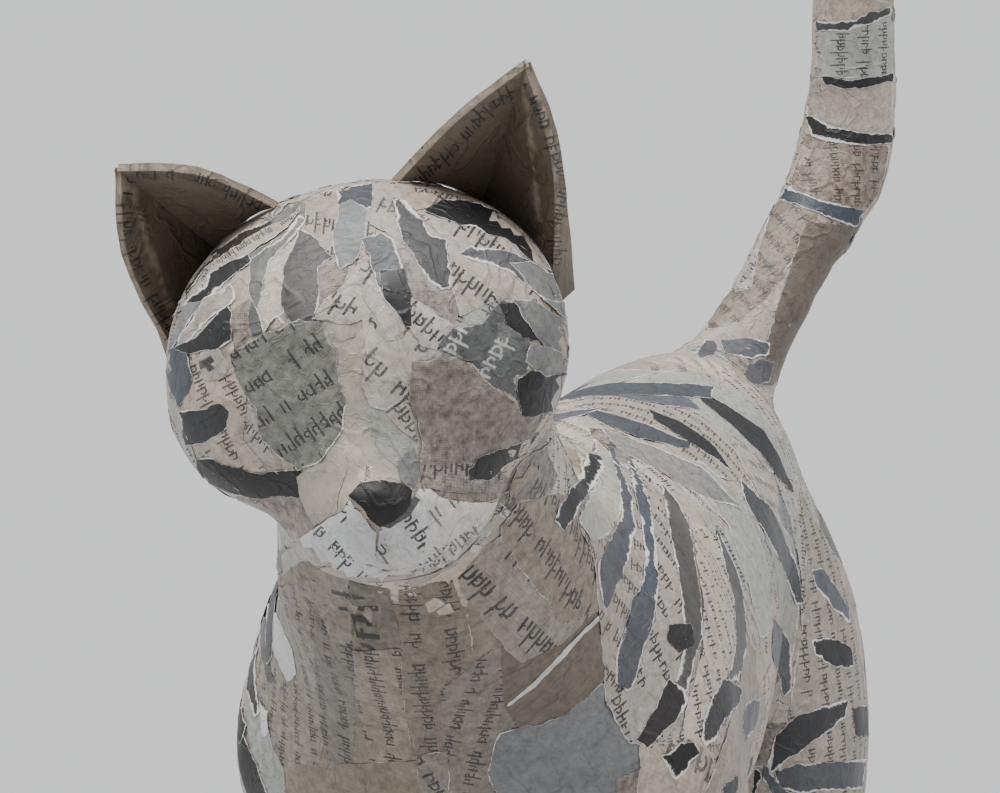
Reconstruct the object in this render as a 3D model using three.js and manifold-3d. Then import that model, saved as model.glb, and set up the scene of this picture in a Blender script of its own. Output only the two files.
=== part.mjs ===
// A standing tabby cat of papier-mache: one pasted form with head, trunk, legs and tail, and two ears
// folded from stiff paper that sit on the head. Millimetres, +Z up, the cat looks towards -Y and its
// own left side is at +X.
import * as THREE from "three";
import { mergeVertices } from "three/addons/utils/BufferGeometryUtils.js";
import Module from "manifold-3d";

const wasm = await Module();
wasm.setup();

// Trunk
const witherHeight = 179;
const rumpHeight = 169;
const trunkLength = 170; // middle of the chest to the root of the tail
const chestWidth = 86; // at the shoulders
const ribWidth = 80;
const chestDepth = 84;
const waistWidth = 60;
const waistDepth = 64;
const rumpWidth = 40;
const rumpDepth = 70;

// Neck and head
const neckReach = 74; // how far the head's middle lies in front of the chest's middle
const headLift = 23; // how far the head's middle lies above the withers
const neckWidth = 52;
const headWidth = 66;
const headTurn = THREE.MathUtils.degToRad(15); // towards the cat's left
const headNod = THREE.MathUtils.degToRad(12); // downwards
const headTilt = THREE.MathUtils.degToRad(12); // the crown leans to the cat's right

// Legs
const frontStance = 43; // between the middles of the two front paws
const hindStance = 46;
const upperArmWidth = 36;
const armSpread = 88; // across the outsides of the upper arms
const wristWidth = 19;
const thighWidth = 36;
const thighSpread = 84; // across the outsides of the thighs
const hockWidth = 19;
const pawWidth = 25;
const pawLength = 38;
const pawHeight = 17;

// Tail
const tailWidth = 21;
const tailTipWidth = 15;
const tailRise = 152; // from its root to its tip
const tailSweep = 45; // how far it swings behind the rump
const tailLean = 23; // how far it leans to the cat's left

// Ears
const earHeights = { left: 43, right: 39 };
const earLeans = { left: 0.11, right: 0.03 }; // outward, as a share of the height
const earBulges = { left: 2.5, right: 7.5 }; // of the inner edge past a straight line
const earThickness = 1.4;
const earHem = 6; // the strip turned back along the outer edge
const earSeatGap = 0.3; // between an ear's cut foot and the head

// The mesh of the form: a fine grid round the head, a coarser one elsewhere
const fineCell = 4.4;
const coarseCell = 7.8;
const crossCell = 5.9;

const point = (x, y, z) => new THREE.Vector3(x, y, z);

// Fields: functions of x, y and z that give the distance outside a form, negative inside it.
function ball(centre, radii) {
  return (x, y, z) => {
    const px = (x - centre.x) / radii.x;
    const py = (y - centre.y) / radii.y;
    const pz = (z - centre.z) / radii.z;
    const reach = Math.hypot(px, py, pz);
    const slope = Math.hypot(px / radii.x, py / radii.y, pz / radii.z);
    return slope > 0 ? (reach * (reach - 1)) / slope : -Math.min(radii.x, radii.y, radii.z);
  };
}

function taper(from, to, fromRadius, toRadius) {
  const along = to.clone().sub(from);
  const lengthSquared = along.lengthSq();
  return (x, y, z) => {
    const px = x - from.x;
    const py = y - from.y;
    const pz = z - from.z;
    const dot = (px * along.x + py * along.y + pz * along.z) / lengthSquared;
    const t = Math.min(1, Math.max(0, dot));
    const gap = Math.hypot(px - t * along.x, py - t * along.y, pz - t * along.z);
    return gap - fromRadius - t * (toRadius - fromRadius);
  };
}

// A round limb along a smooth curve through its joints, each given as [point, width].
function limb(joints, steps) {
  const line = new THREE.CatmullRomCurve3(joints.map((joint) => joint[0]));
  const radius = (t) => {
    const place = t * (joints.length - 1);
    const below = Math.min(joints.length - 2, Math.floor(place));
    const share = THREE.MathUtils.smoothstep(place - below, 0, 1);
    return THREE.MathUtils.lerp(joints[below][1], joints[below + 1][1], share) / 2;
  };
  const pieces = [];
  for (let i = 0; i < steps; i++) {
    const [start, end] = [i / steps, (i + 1) / steps];
    pieces.push(taper(line.getPoint(start), line.getPoint(end), radius(start), radius(end)));
  }
  return (x, y, z) => {
    let nearest = Infinity;
    for (const piece of pieces) nearest = Math.min(nearest, piece(x, y, z));
    return nearest;
  };
}

// Joins forms with a soft hollow between them, about as wide as softness.
function blend(softness, ...fields) {
  return (x, y, z) => {
    let joined = Infinity;
    for (const field of fields) {
      const next = field(x, y, z);
      const overlap = Math.max(softness - Math.abs(joined - next), 0) / softness;
      joined = Math.min(joined, next) - (overlap * overlap * softness) / 4;
    }
    return joined;
  };
}

function hollowed(softness, form, hollow) {
  const solid = blend(softness, (x, y, z) => -form(x, y, z), hollow);
  return (x, y, z) => -solid(x, y, z);
}

function placed(matrix, field) {
  const m = matrix.clone().invert().elements;
  return (x, y, z) =>
    field(
      m[0] * x + m[4] * y + m[8] * z + m[12],
      m[1] * x + m[5] * y + m[9] * z + m[13],
      m[2] * x + m[6] * y + m[10] * z + m[14],
    );
}

// Where the main parts lie. The chest's middle is at y = 0.
const chestMiddle = witherHeight - chestDepth / 2;
const rumpMiddle = rumpHeight - rumpDepth / 2;
const headCentre = point(0, -neckReach, witherHeight + headLift);
const headPose = new THREE.Matrix4()
  .makeTranslation(headCentre)
  .multiply(new THREE.Matrix4().makeRotationZ(headTurn))
  .multiply(new THREE.Matrix4().makeRotationX(headNod))
  .multiply(new THREE.Matrix4().makeRotationY(-headTilt));
const sides = [
  ["left", 1],
  ["right", -1],
];

function trunk() {
  const backY = trunkLength;
  return blend(
    26,
    ball(point(0, backY * -0.05, chestMiddle - 4), point(chestWidth / 2, 40, chestDepth / 2)),
    ball(point(0, backY * 0.25, chestMiddle - 12), point(ribWidth / 2, 58, chestDepth * 0.54)),
    ball(
      point(0, backY * 0.58, (witherHeight + rumpHeight) / 2 - waistDepth / 2),
      point(waistWidth / 2, 56, waistDepth / 2),
    ),
    ball(point(0, backY * 0.84, rumpMiddle), point(rumpWidth / 2, 38, rumpDepth / 2)),
  );
}

function neck() {
  return limb(
    [
      [point(0, 2, witherHeight - neckWidth * 0.68), neckWidth * 1.36],
      [point(0, -neckReach * 0.4, witherHeight - neckWidth * 0.42), neckWidth * 1.12],
      [headCentre.clone().add(point(2, 14, -8)), neckWidth * 0.88],
    ],
    8,
  );
}

// The head in its own axes, as shares of half its width: a broad skull, cheeks, a short muzzle, a bridge
// down to the nose, and shallow sockets with no eyes.
function head() {
  const unit = headWidth / 2;
  const at = (x, y, z) => point(x, y, z).multiplyScalar(unit);
  const skull = ball(at(0.02, 0.1, 0.2), at(0.98, 0.92, 0.76));
  const cheeks = sides.map(([, side]) => ball(at(0.46 * side, -0.14, 0), at(0.45, 0.54, 0.4)));
  const muzzle = ball(at(0.05, -0.6, -0.43), at(0.5, 0.48, 0.3));
  const bridge = taper(at(0, -0.3, 0.16), at(0, -0.86, -0.19), 0.46 * unit, 0.26 * unit);
  const nose = ball(at(0, -1.08, -0.2), at(0.17, 0.12, 0.12));
  const form = blend(0.26 * unit, skull, ...cheeks, muzzle, bridge);
  const socket = (side) => ball(at(0.46 * side, -1.2, 0.08), at(0.3, 0.34, 0.3));
  const carved = sides.reduce((made, [, side]) => hollowed(0.22 * unit, made, socket(side)), form);
  return placed(headPose, blend(0.06 * unit, carved, nose));
}

function paw(x, y) {
  const heel = ball(
    point(x, y + pawLength * 0.14, pawHeight * 0.42),
    point(pawWidth * 0.4, pawLength * 0.32, pawHeight * 0.62),
  );
  const toes = ball(
    point(x, y - pawLength * 0.14, pawHeight * 0.34),
    point(pawWidth * 0.5, pawLength * 0.36, pawHeight * 0.62),
  );
  return blend(6, heel, toes);
}

function frontLeg(side) {
  const x = (frontStance / 2) * side;
  const armX = ((armSpread - upperArmWidth) / 2) * side;
  const shoulder = point(armX, -14, witherHeight * 0.68);
  const elbow = point(armX, 18, witherHeight * 0.53);
  const wrist = point(x, -3, pawHeight * 2.1);
  return blend(
    7,
    limb(
      [
        [shoulder, upperArmWidth],
        [elbow, upperArmWidth * 0.94],
        [point(x + 2 * side, 6, witherHeight * 0.36), upperArmWidth * 0.66],
        [wrist, wristWidth],
        [point(x, -6, pawHeight * 0.8), wristWidth * 1.05],
      ],
      12,
    ),
    paw(x, -14),
  );
}

function hindLeg(side) {
  const x = (hindStance / 2) * side;
  const backY = trunkLength;
  const thighX = ((thighSpread - thighWidth) / 2) * side;
  const thigh = ball(
    point(thighX, backY * 0.8, rumpHeight * 0.53),
    point(thighWidth / 2, 33, rumpHeight * 0.3),
  );
  const hock = point(x, backY * 0.97, rumpHeight * 0.27);
  const shank = limb(
    [
      [point(thighX * 0.9, backY * 0.74, rumpHeight * 0.56), thighWidth * 0.9],
      [point(thighX, backY * 0.72, rumpHeight * 0.45), thighWidth * 0.9],
      [point(x, backY * 0.86, rumpHeight * 0.33), hockWidth * 1.3],
      [hock, hockWidth],
      [point(x, backY * 0.95, rumpHeight * 0.15), hockWidth * 0.96],
      [point(x, backY * 0.92, pawHeight * 0.7), hockWidth * 1.05],
    ],
    15,
  );
  return blend(8, thigh, blend(7, shank, paw(x, backY * 0.87)));
}

// The tail rises from the rump, swings back and to the left, and straightens towards its tip.
function tail() {
  const root = point(0, trunkLength * 0.95, rumpHeight - tailWidth * 0.75);
  const along = (back, left, up) =>
    root.clone().add(point(tailLean * left, tailSweep * back, tailRise * up));
  return limb(
    [
      [along(-0.55, -0.3, -0.16), tailWidth * 1.3],
      [along(0, 0, 0), tailWidth],
      [along(0.5, 0.5, 0.2), tailWidth * 0.9],
      [along(0.96, 0.96, 0.38), tailWidth * 1.07],
      [along(1.02, 1, 0.56), tailWidth * 0.98],
      [along(0.95, 0.9, 0.78), tailWidth * 0.86],
      [along(0.7, 0.62, 1), tailTipWidth],
    ],
    22,
  );
}

const bodyForm = blend(11, trunk(), neck(), blend(9, ...sides.map(([, side]) => frontLeg(side))));
const hindForm = blend(9, ...sides.map(([, side]) => hindLeg(side)));
const catForm = blend(9, blend(12, bodyForm, hindForm), head(), tail());

// Grid lines from low to high, close together inside the fine stretches and further apart outside.
function gridLines(low, high, ...fineStretches) {
  const lines = [low];
  while (lines.at(-1) < high) {
    const fine = fineStretches.some(([start, end]) => lines.at(-1) >= start && lines.at(-1) < end);
    lines.push(lines.at(-1) + (fine ? fineCell : coarseCell));
  }
  return lines;
}

const evenLines = (low, high, step) =>
  Array.from({ length: Math.ceil((high - low) / step) + 1 }, (_, i) => low + i * step);

// A cell's corners are numbered by bits: 1 is one step in x, 2 in y and 4 in z.
const cellEdges = [0, 1, 2].flatMap((axis) =>
  [0, 1, 2, 3].map((k) => {
    const [u, v] = [0, 1, 2].filter((other) => other !== axis);
    const start = ((k & 1) << u) | ((k >> 1) << v);
    return [start, start | (1 << axis)];
  }),
);
const edgeBetween = (a, b) =>
  cellEdges.findIndex(([from, to]) => from === Math.min(a, b) && to === Math.max(a, b));
const cellFaces = [0, 1, 2].flatMap((axis) =>
  [0, 1].map((end) => {
    const [u, v] = [0, 1, 2].filter((other) => other !== axis);
    const base = end << axis;
    return [base, base | (1 << u), base | (1 << u) | (1 << v), base | (1 << v)];
  }),
);

// Which of a cell's crossed edges belong to one sheet of the surface: loops[edge] is the sheet's number.
function sheetsOfCell(inside) {
  const group = cellEdges.map((_, i) => i);
  const find = (i) => (group[i] === i ? i : find(group[i]));
  const join = (i, j) => {
    group[find(i)] = find(j);
  };
  for (const face of cellFaces) {
    const edges = face.map((corner, i) => edgeBetween(corner, face[(i + 1) % 4]));
    const crossed = edges.filter((e) => inside[cellEdges[e][0]] !== inside[cellEdges[e][1]]);
    if (crossed.length === 2) join(...crossed);
    if (crossed.length === 4)
      face.forEach((corner, i) => {
        if (inside[corner]) join(edges[(i + 3) % 4], edges[i]);
      });
  }
  return cellEdges.map((_, i) => find(i));
}

// The surface where the field is zero, as one closed mesh. Each sheet in each cell gets a vertex, moved
// onto the surface, and each crossed grid line joins the four round it.
function meshOfField(field) {
  const reachX = Math.max(chestWidth, headWidth, hindStance + pawWidth) * 0.75;
  const xs = evenLines(-reachX, reachX, crossCell);
  const headReach = headWidth * 0.8;
  const ys = gridLines(
    headCentre.y - headReach - fineCell,
    trunkLength + tailSweep + tailWidth + coarseCell,
    [headCentre.y - headReach - fineCell, headCentre.y + headReach * 0.7],
  );
  const zs = gridLines(
    -2 * coarseCell,
    rumpHeight + tailRise + tailWidth,
    [-coarseCell, pawHeight],
    [headCentre.z - headReach, headCentre.z + headReach * 0.8],
    [rumpHeight + tailRise - 2 * tailWidth, rumpHeight + tailRise + tailWidth],
  );
  const [nx, ny, nz] = [xs.length, ys.length, zs.length];
  const values = new Float32Array(nx * ny * nz);
  const node = (i, j, k) => (k * ny + j) * nx + i;
  for (let k = 0; k < nz; k++)
    for (let j = 0; j < ny; j++)
      for (let i = 0; i < nx; i++) values[node(i, j, k)] = field(xs[i], ys[j], zs[k]);

  const corner = (i, j, k, c) => [i + (c & 1), j + ((c >> 1) & 1), k + (c >> 2)];
  const positions = [];
  const vertexOf = new Map(); // cell and edge to vertex
  for (let k = 0; k < nz - 1; k++)
    for (let j = 0; j < ny - 1; j++)
      for (let i = 0; i < nx - 1; i++) {
        const corners = Array.from({ length: 8 }, (_, c) => corner(i, j, k, c));
        const at = corners.map((c) => values[node(...c)]);
        const inside = at.map((value) => value < 0);
        if (inside.every(Boolean) || !inside.some(Boolean)) continue;
        const sheets = sheetsOfCell(inside);
        const gathered = new Map();
        cellEdges.forEach(([a, b], e) => {
          if (inside[a] === inside[b]) return;
          const share = at[a] / (at[a] - at[b]);
          const [pa, pb] = [corners[a], corners[b]].map(([u, v, w]) => point(xs[u], ys[v], zs[w]));
          const found = gathered.get(sheets[e]) ?? { sum: point(0, 0, 0), edges: [] };
          found.sum.add(pa.lerp(pb, share));
          found.edges.push(e);
          gathered.set(sheets[e], found);
        });
        for (const { sum, edges } of gathered.values()) {
          for (const e of edges) vertexOf.set(node(i, j, k) * 12 + e, positions.length);
          positions.push(ontoSurface(field, sum.divideScalar(edges.length)));
        }
      }

  const triangles = [];
  for (let k = 1; k < nz - 1; k++)
    for (let j = 1; j < ny - 1; j++)
      for (let i = 1; i < nx - 1; i++)
        for (let axis = 0; axis < 3; axis++) {
          const here = [i, j, k];
          const next = here.map((n, a) => n + (a === axis ? 1 : 0));
          const startInside = values[node(...here)] < 0;
          if (startInside === values[node(...next)] < 0) continue;
          const [u, v] = [(axis + 1) % 3, (axis + 2) % 3];
          const ring = [
            [0, 0],
            [1, 0],
            [1, 1],
            [0, 1],
          ].map(([du, dv]) => {
            const cell = [...here];
            cell[u] -= du;
            cell[v] -= dv;
            const start = (du << u) | (dv << v);
            return vertexOf.get(node(...cell) * 12 + edgeBetween(start, start | (1 << axis)));
          });
          if (!startInside) ring.reverse();
          triangles.push(...splitQuad(ring, positions));
        }
  return geometryOf(positions, triangles);
}

// Slides a point along the field's slope until it lies on the surface.
function ontoSurface(field, start) {
  const p = start.clone();
  const probe = 0.05;
  for (let round = 0; round < 4; round++) {
    const value = field(p.x, p.y, p.z);
    const slope = point(
      field(p.x + probe, p.y, p.z) - field(p.x - probe, p.y, p.z),
      field(p.x, p.y + probe, p.z) - field(p.x, p.y - probe, p.z),
      field(p.x, p.y, p.z + probe) - field(p.x, p.y, p.z - probe),
    ).divideScalar(2 * probe);
    const move = slope.multiplyScalar(-value / Math.max(slope.lengthSq(), 0.05));
    p.add(move.clampLength(0, fineCell / 3));
  }
  return p;
}

// Splits a ring of four across its shorter diagonal.
function splitQuad([a, b, c, d], positions) {
  const [pa, pb, pc, pd] = [a, b, c, d].map((i) => positions[i]);
  const shortWay = pa.distanceToSquared(pc) <= pb.distanceToSquared(pd);
  return shortWay ? [a, b, c, a, c, d] : [a, b, d, b, c, d];
}

function geometryOf(positions, triangles) {
  const made = new THREE.BufferGeometry();
  const numbers = positions.flatMap((p) => p.toArray());
  made.setAttribute("position", new THREE.Float32BufferAttribute(numbers, 3));
  made.setIndex(triangles);
  return made;
}

function solidOf(geometry) {
  const plain = geometry.clone();
  plain.deleteAttribute("normal");
  plain.deleteAttribute("uv");
  const merged = mergeVertices(plain, 1e-4);
  return new wasm.Manifold(
    new wasm.Mesh({
      numProp: 3,
      vertProperties: merged.attributes.position.array,
      triVerts: new Uint32Array(merged.index.array),
    }),
  );
}

function geometryOfSolid(solid) {
  const mesh = solid.getMesh();
  const made = new THREE.BufferGeometry();
  made.setAttribute("position", new THREE.BufferAttribute(mesh.vertProperties, 3));
  made.setIndex(new THREE.BufferAttribute(mesh.triVerts, 1));
  made.computeVertexNormals();
  return made;
}

// Everything under the ground, so that the paws stand flat.
function ground() {
  const size = 4 * (trunkLength + neckReach);
  return solidOf(new THREE.BoxGeometry(size, size, size).translate(0, 0, -size / 2));
}

// A flat panel of stiff paper with a straight fold a-tip, a foot a-b and a free edge b-tip that stands
// out from a straight line by the bulge.
function panel(a, b, tip, bulge) {
  const across = b.clone().sub(a).normalize();
  const facing = across.clone().cross(tip.clone().sub(a)).normalize();
  const up = facing.clone().cross(across);
  const flat = (p) => [p.clone().sub(a).dot(across), p.clone().sub(a).dot(up)];
  const outline = new THREE.Shape();
  outline.moveTo(...flat(a));
  outline.lineTo(...flat(b));
  const outward = tip.clone().sub(b).cross(facing).normalize();
  const knee = b.clone().lerp(tip, 0.6).addScaledVector(outward, bulge);
  outline.splineThru([knee, tip].map((p) => new THREE.Vector2(...flat(p))));
  outline.closePath();
  const sheet = new THREE.ExtrudeGeometry(outline, {
    depth: earThickness,
    bevelEnabled: false,
    curveSegments: 3,
  });
  sheet.translate(0, 0, -earThickness / 2);
  sheet.applyMatrix4(new THREE.Matrix4().makeBasis(across, up, facing).setPosition(a));
  return solidOf(sheet);
}

// An ear: an inner and an outer panel that meet in a valley fold at the back, and a hem turned back
// along the outer edge. Its foot runs down into the head and is cut away there.
function ear(name, side, headSkin) {
  const unit = headWidth / 2;
  const at = (x, y, z) => point(x * unit * side, y * unit, z * unit).applyMatrix4(headPose);
  const outerFoot = at(0.94, 0.36, 0.1);
  const rise = at(earLeans[name], -0.12, 1).sub(headCentre).setLength(earHeights[name]);
  const tip = outerFoot.clone().add(rise);
  const innerFoot = at(0.1, 0.3, 0.74);
  const valleyFoot = at(0.56, 0.84, 0.36);
  const hemFoot = outerFoot.clone().add(at(0.5, 1, 0).sub(headCentre).setLength(earHem));
  const panels = [
    panel(valleyFoot, innerFoot, tip, earBulges[name]),
    panel(valleyFoot, outerFoot, tip, 4.5),
    panel(outerFoot, hemFoot, tip, 4),
  ];
  return panels.reduce((made, next) => made.add(next)).subtract(headSkin);
}

function named(name, solid, colour) {
  const paper = new THREE.MeshStandardMaterial({ color: colour, roughness: 0.75, metalness: 0 });
  const mesh = new THREE.Mesh(geometryOfSolid(solid), paper);
  mesh.name = name;
  return mesh;
}

// Stands the model with the middle of its footprint box at the origin.
function centreOnGround(group) {
  const box = new THREE.Box3().setFromObject(group);
  const middle = box.getCenter(point(0, 0, 0));
  group.position.set(-middle.x, -middle.y, -box.min.z);
  return group;
}

const below = ground();
const headSkin = solidOf(meshOfField((x, y, z) => catForm(x, y, z) - earSeatGap));
const cat = new THREE.Group();
cat.add(named("cat_body", solidOf(meshOfField(catForm)).subtract(below), 0xa39a90));
for (const [name, side] of sides) {
  cat.add(named(name + "_ear", ear(name, side, headSkin), 0x8c8174));
}

export default centreOnGround(cat);
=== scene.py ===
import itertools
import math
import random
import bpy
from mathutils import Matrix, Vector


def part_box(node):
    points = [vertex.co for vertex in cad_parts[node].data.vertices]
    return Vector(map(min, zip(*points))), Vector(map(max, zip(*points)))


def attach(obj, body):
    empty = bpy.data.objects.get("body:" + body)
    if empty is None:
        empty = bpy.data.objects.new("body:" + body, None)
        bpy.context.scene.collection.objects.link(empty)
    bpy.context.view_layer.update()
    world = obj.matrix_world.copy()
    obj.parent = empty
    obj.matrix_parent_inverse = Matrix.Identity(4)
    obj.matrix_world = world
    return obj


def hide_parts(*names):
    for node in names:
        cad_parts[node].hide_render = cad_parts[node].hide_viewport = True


bl_info = {
    "name": "Papier-mache tabby cat",
    "version": (1, 0, 0),
    "blender": (4, 5, 0),
    "location": "View3D > Sidebar > Paper cat",
    "description": "Dresses the cat's solids in torn and pasted paper",
    "category": "Object",
}

import bmesh
import bpy
import numpy as np
from bpy.props import FloatProperty, IntProperty, PointerProperty
from mathutils import Matrix, Vector, noise
from mathutils.bvhtree import BVHTree
from mathutils.geometry import delaunay_2d_cdt
from mathutils.kdtree import KDTree

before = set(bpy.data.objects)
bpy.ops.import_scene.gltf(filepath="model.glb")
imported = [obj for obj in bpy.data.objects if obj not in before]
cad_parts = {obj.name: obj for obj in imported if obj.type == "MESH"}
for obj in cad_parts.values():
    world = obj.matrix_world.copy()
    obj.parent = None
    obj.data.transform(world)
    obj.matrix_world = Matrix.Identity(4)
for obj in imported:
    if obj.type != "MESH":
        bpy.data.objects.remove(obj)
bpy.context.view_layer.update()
MM = 0.001
PER_SQUARE_CM = 1e4
# Scraps under the paws are pressed up to this height above the floor, in metres.
SOLE = 0.00002

# The camera, in the frame's metres, and its focal length in pixels of a 1000 x 793 picture.
EYE = Vector((0.18802, -0.68877, 0.30436))
AZIMUTH, ELEVATION = math.radians(16.5), math.radians(10)
FOCAL = 3720
PICTURE = (1000, 793)
AHEAD = Vector(
    (
        -math.sin(AZIMUTH) * math.cos(ELEVATION),
        math.cos(AZIMUTH) * math.cos(ELEVATION),
        -math.sin(ELEVATION),
    )
)
RIGHT = Vector((math.cos(AZIMUTH), math.sin(AZIMUTH), 0))
UP = RIGHT.cross(AHEAD)
PIXELS_PER_MM = 6.2

# The head's own axes, as the solids have them.
HEAD_MIDDLE = Vector((0, -0.12786, 0.202))
HEAD_HALF = 0.033
HEAD = (
    Matrix.Translation(HEAD_MIDDLE)
    @ Matrix.Rotation(math.radians(15), 4, "Z")
    @ Matrix.Rotation(math.radians(12), 4, "X")
    @ Matrix.Rotation(math.radians(-12), 4, "Y")
)

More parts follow.
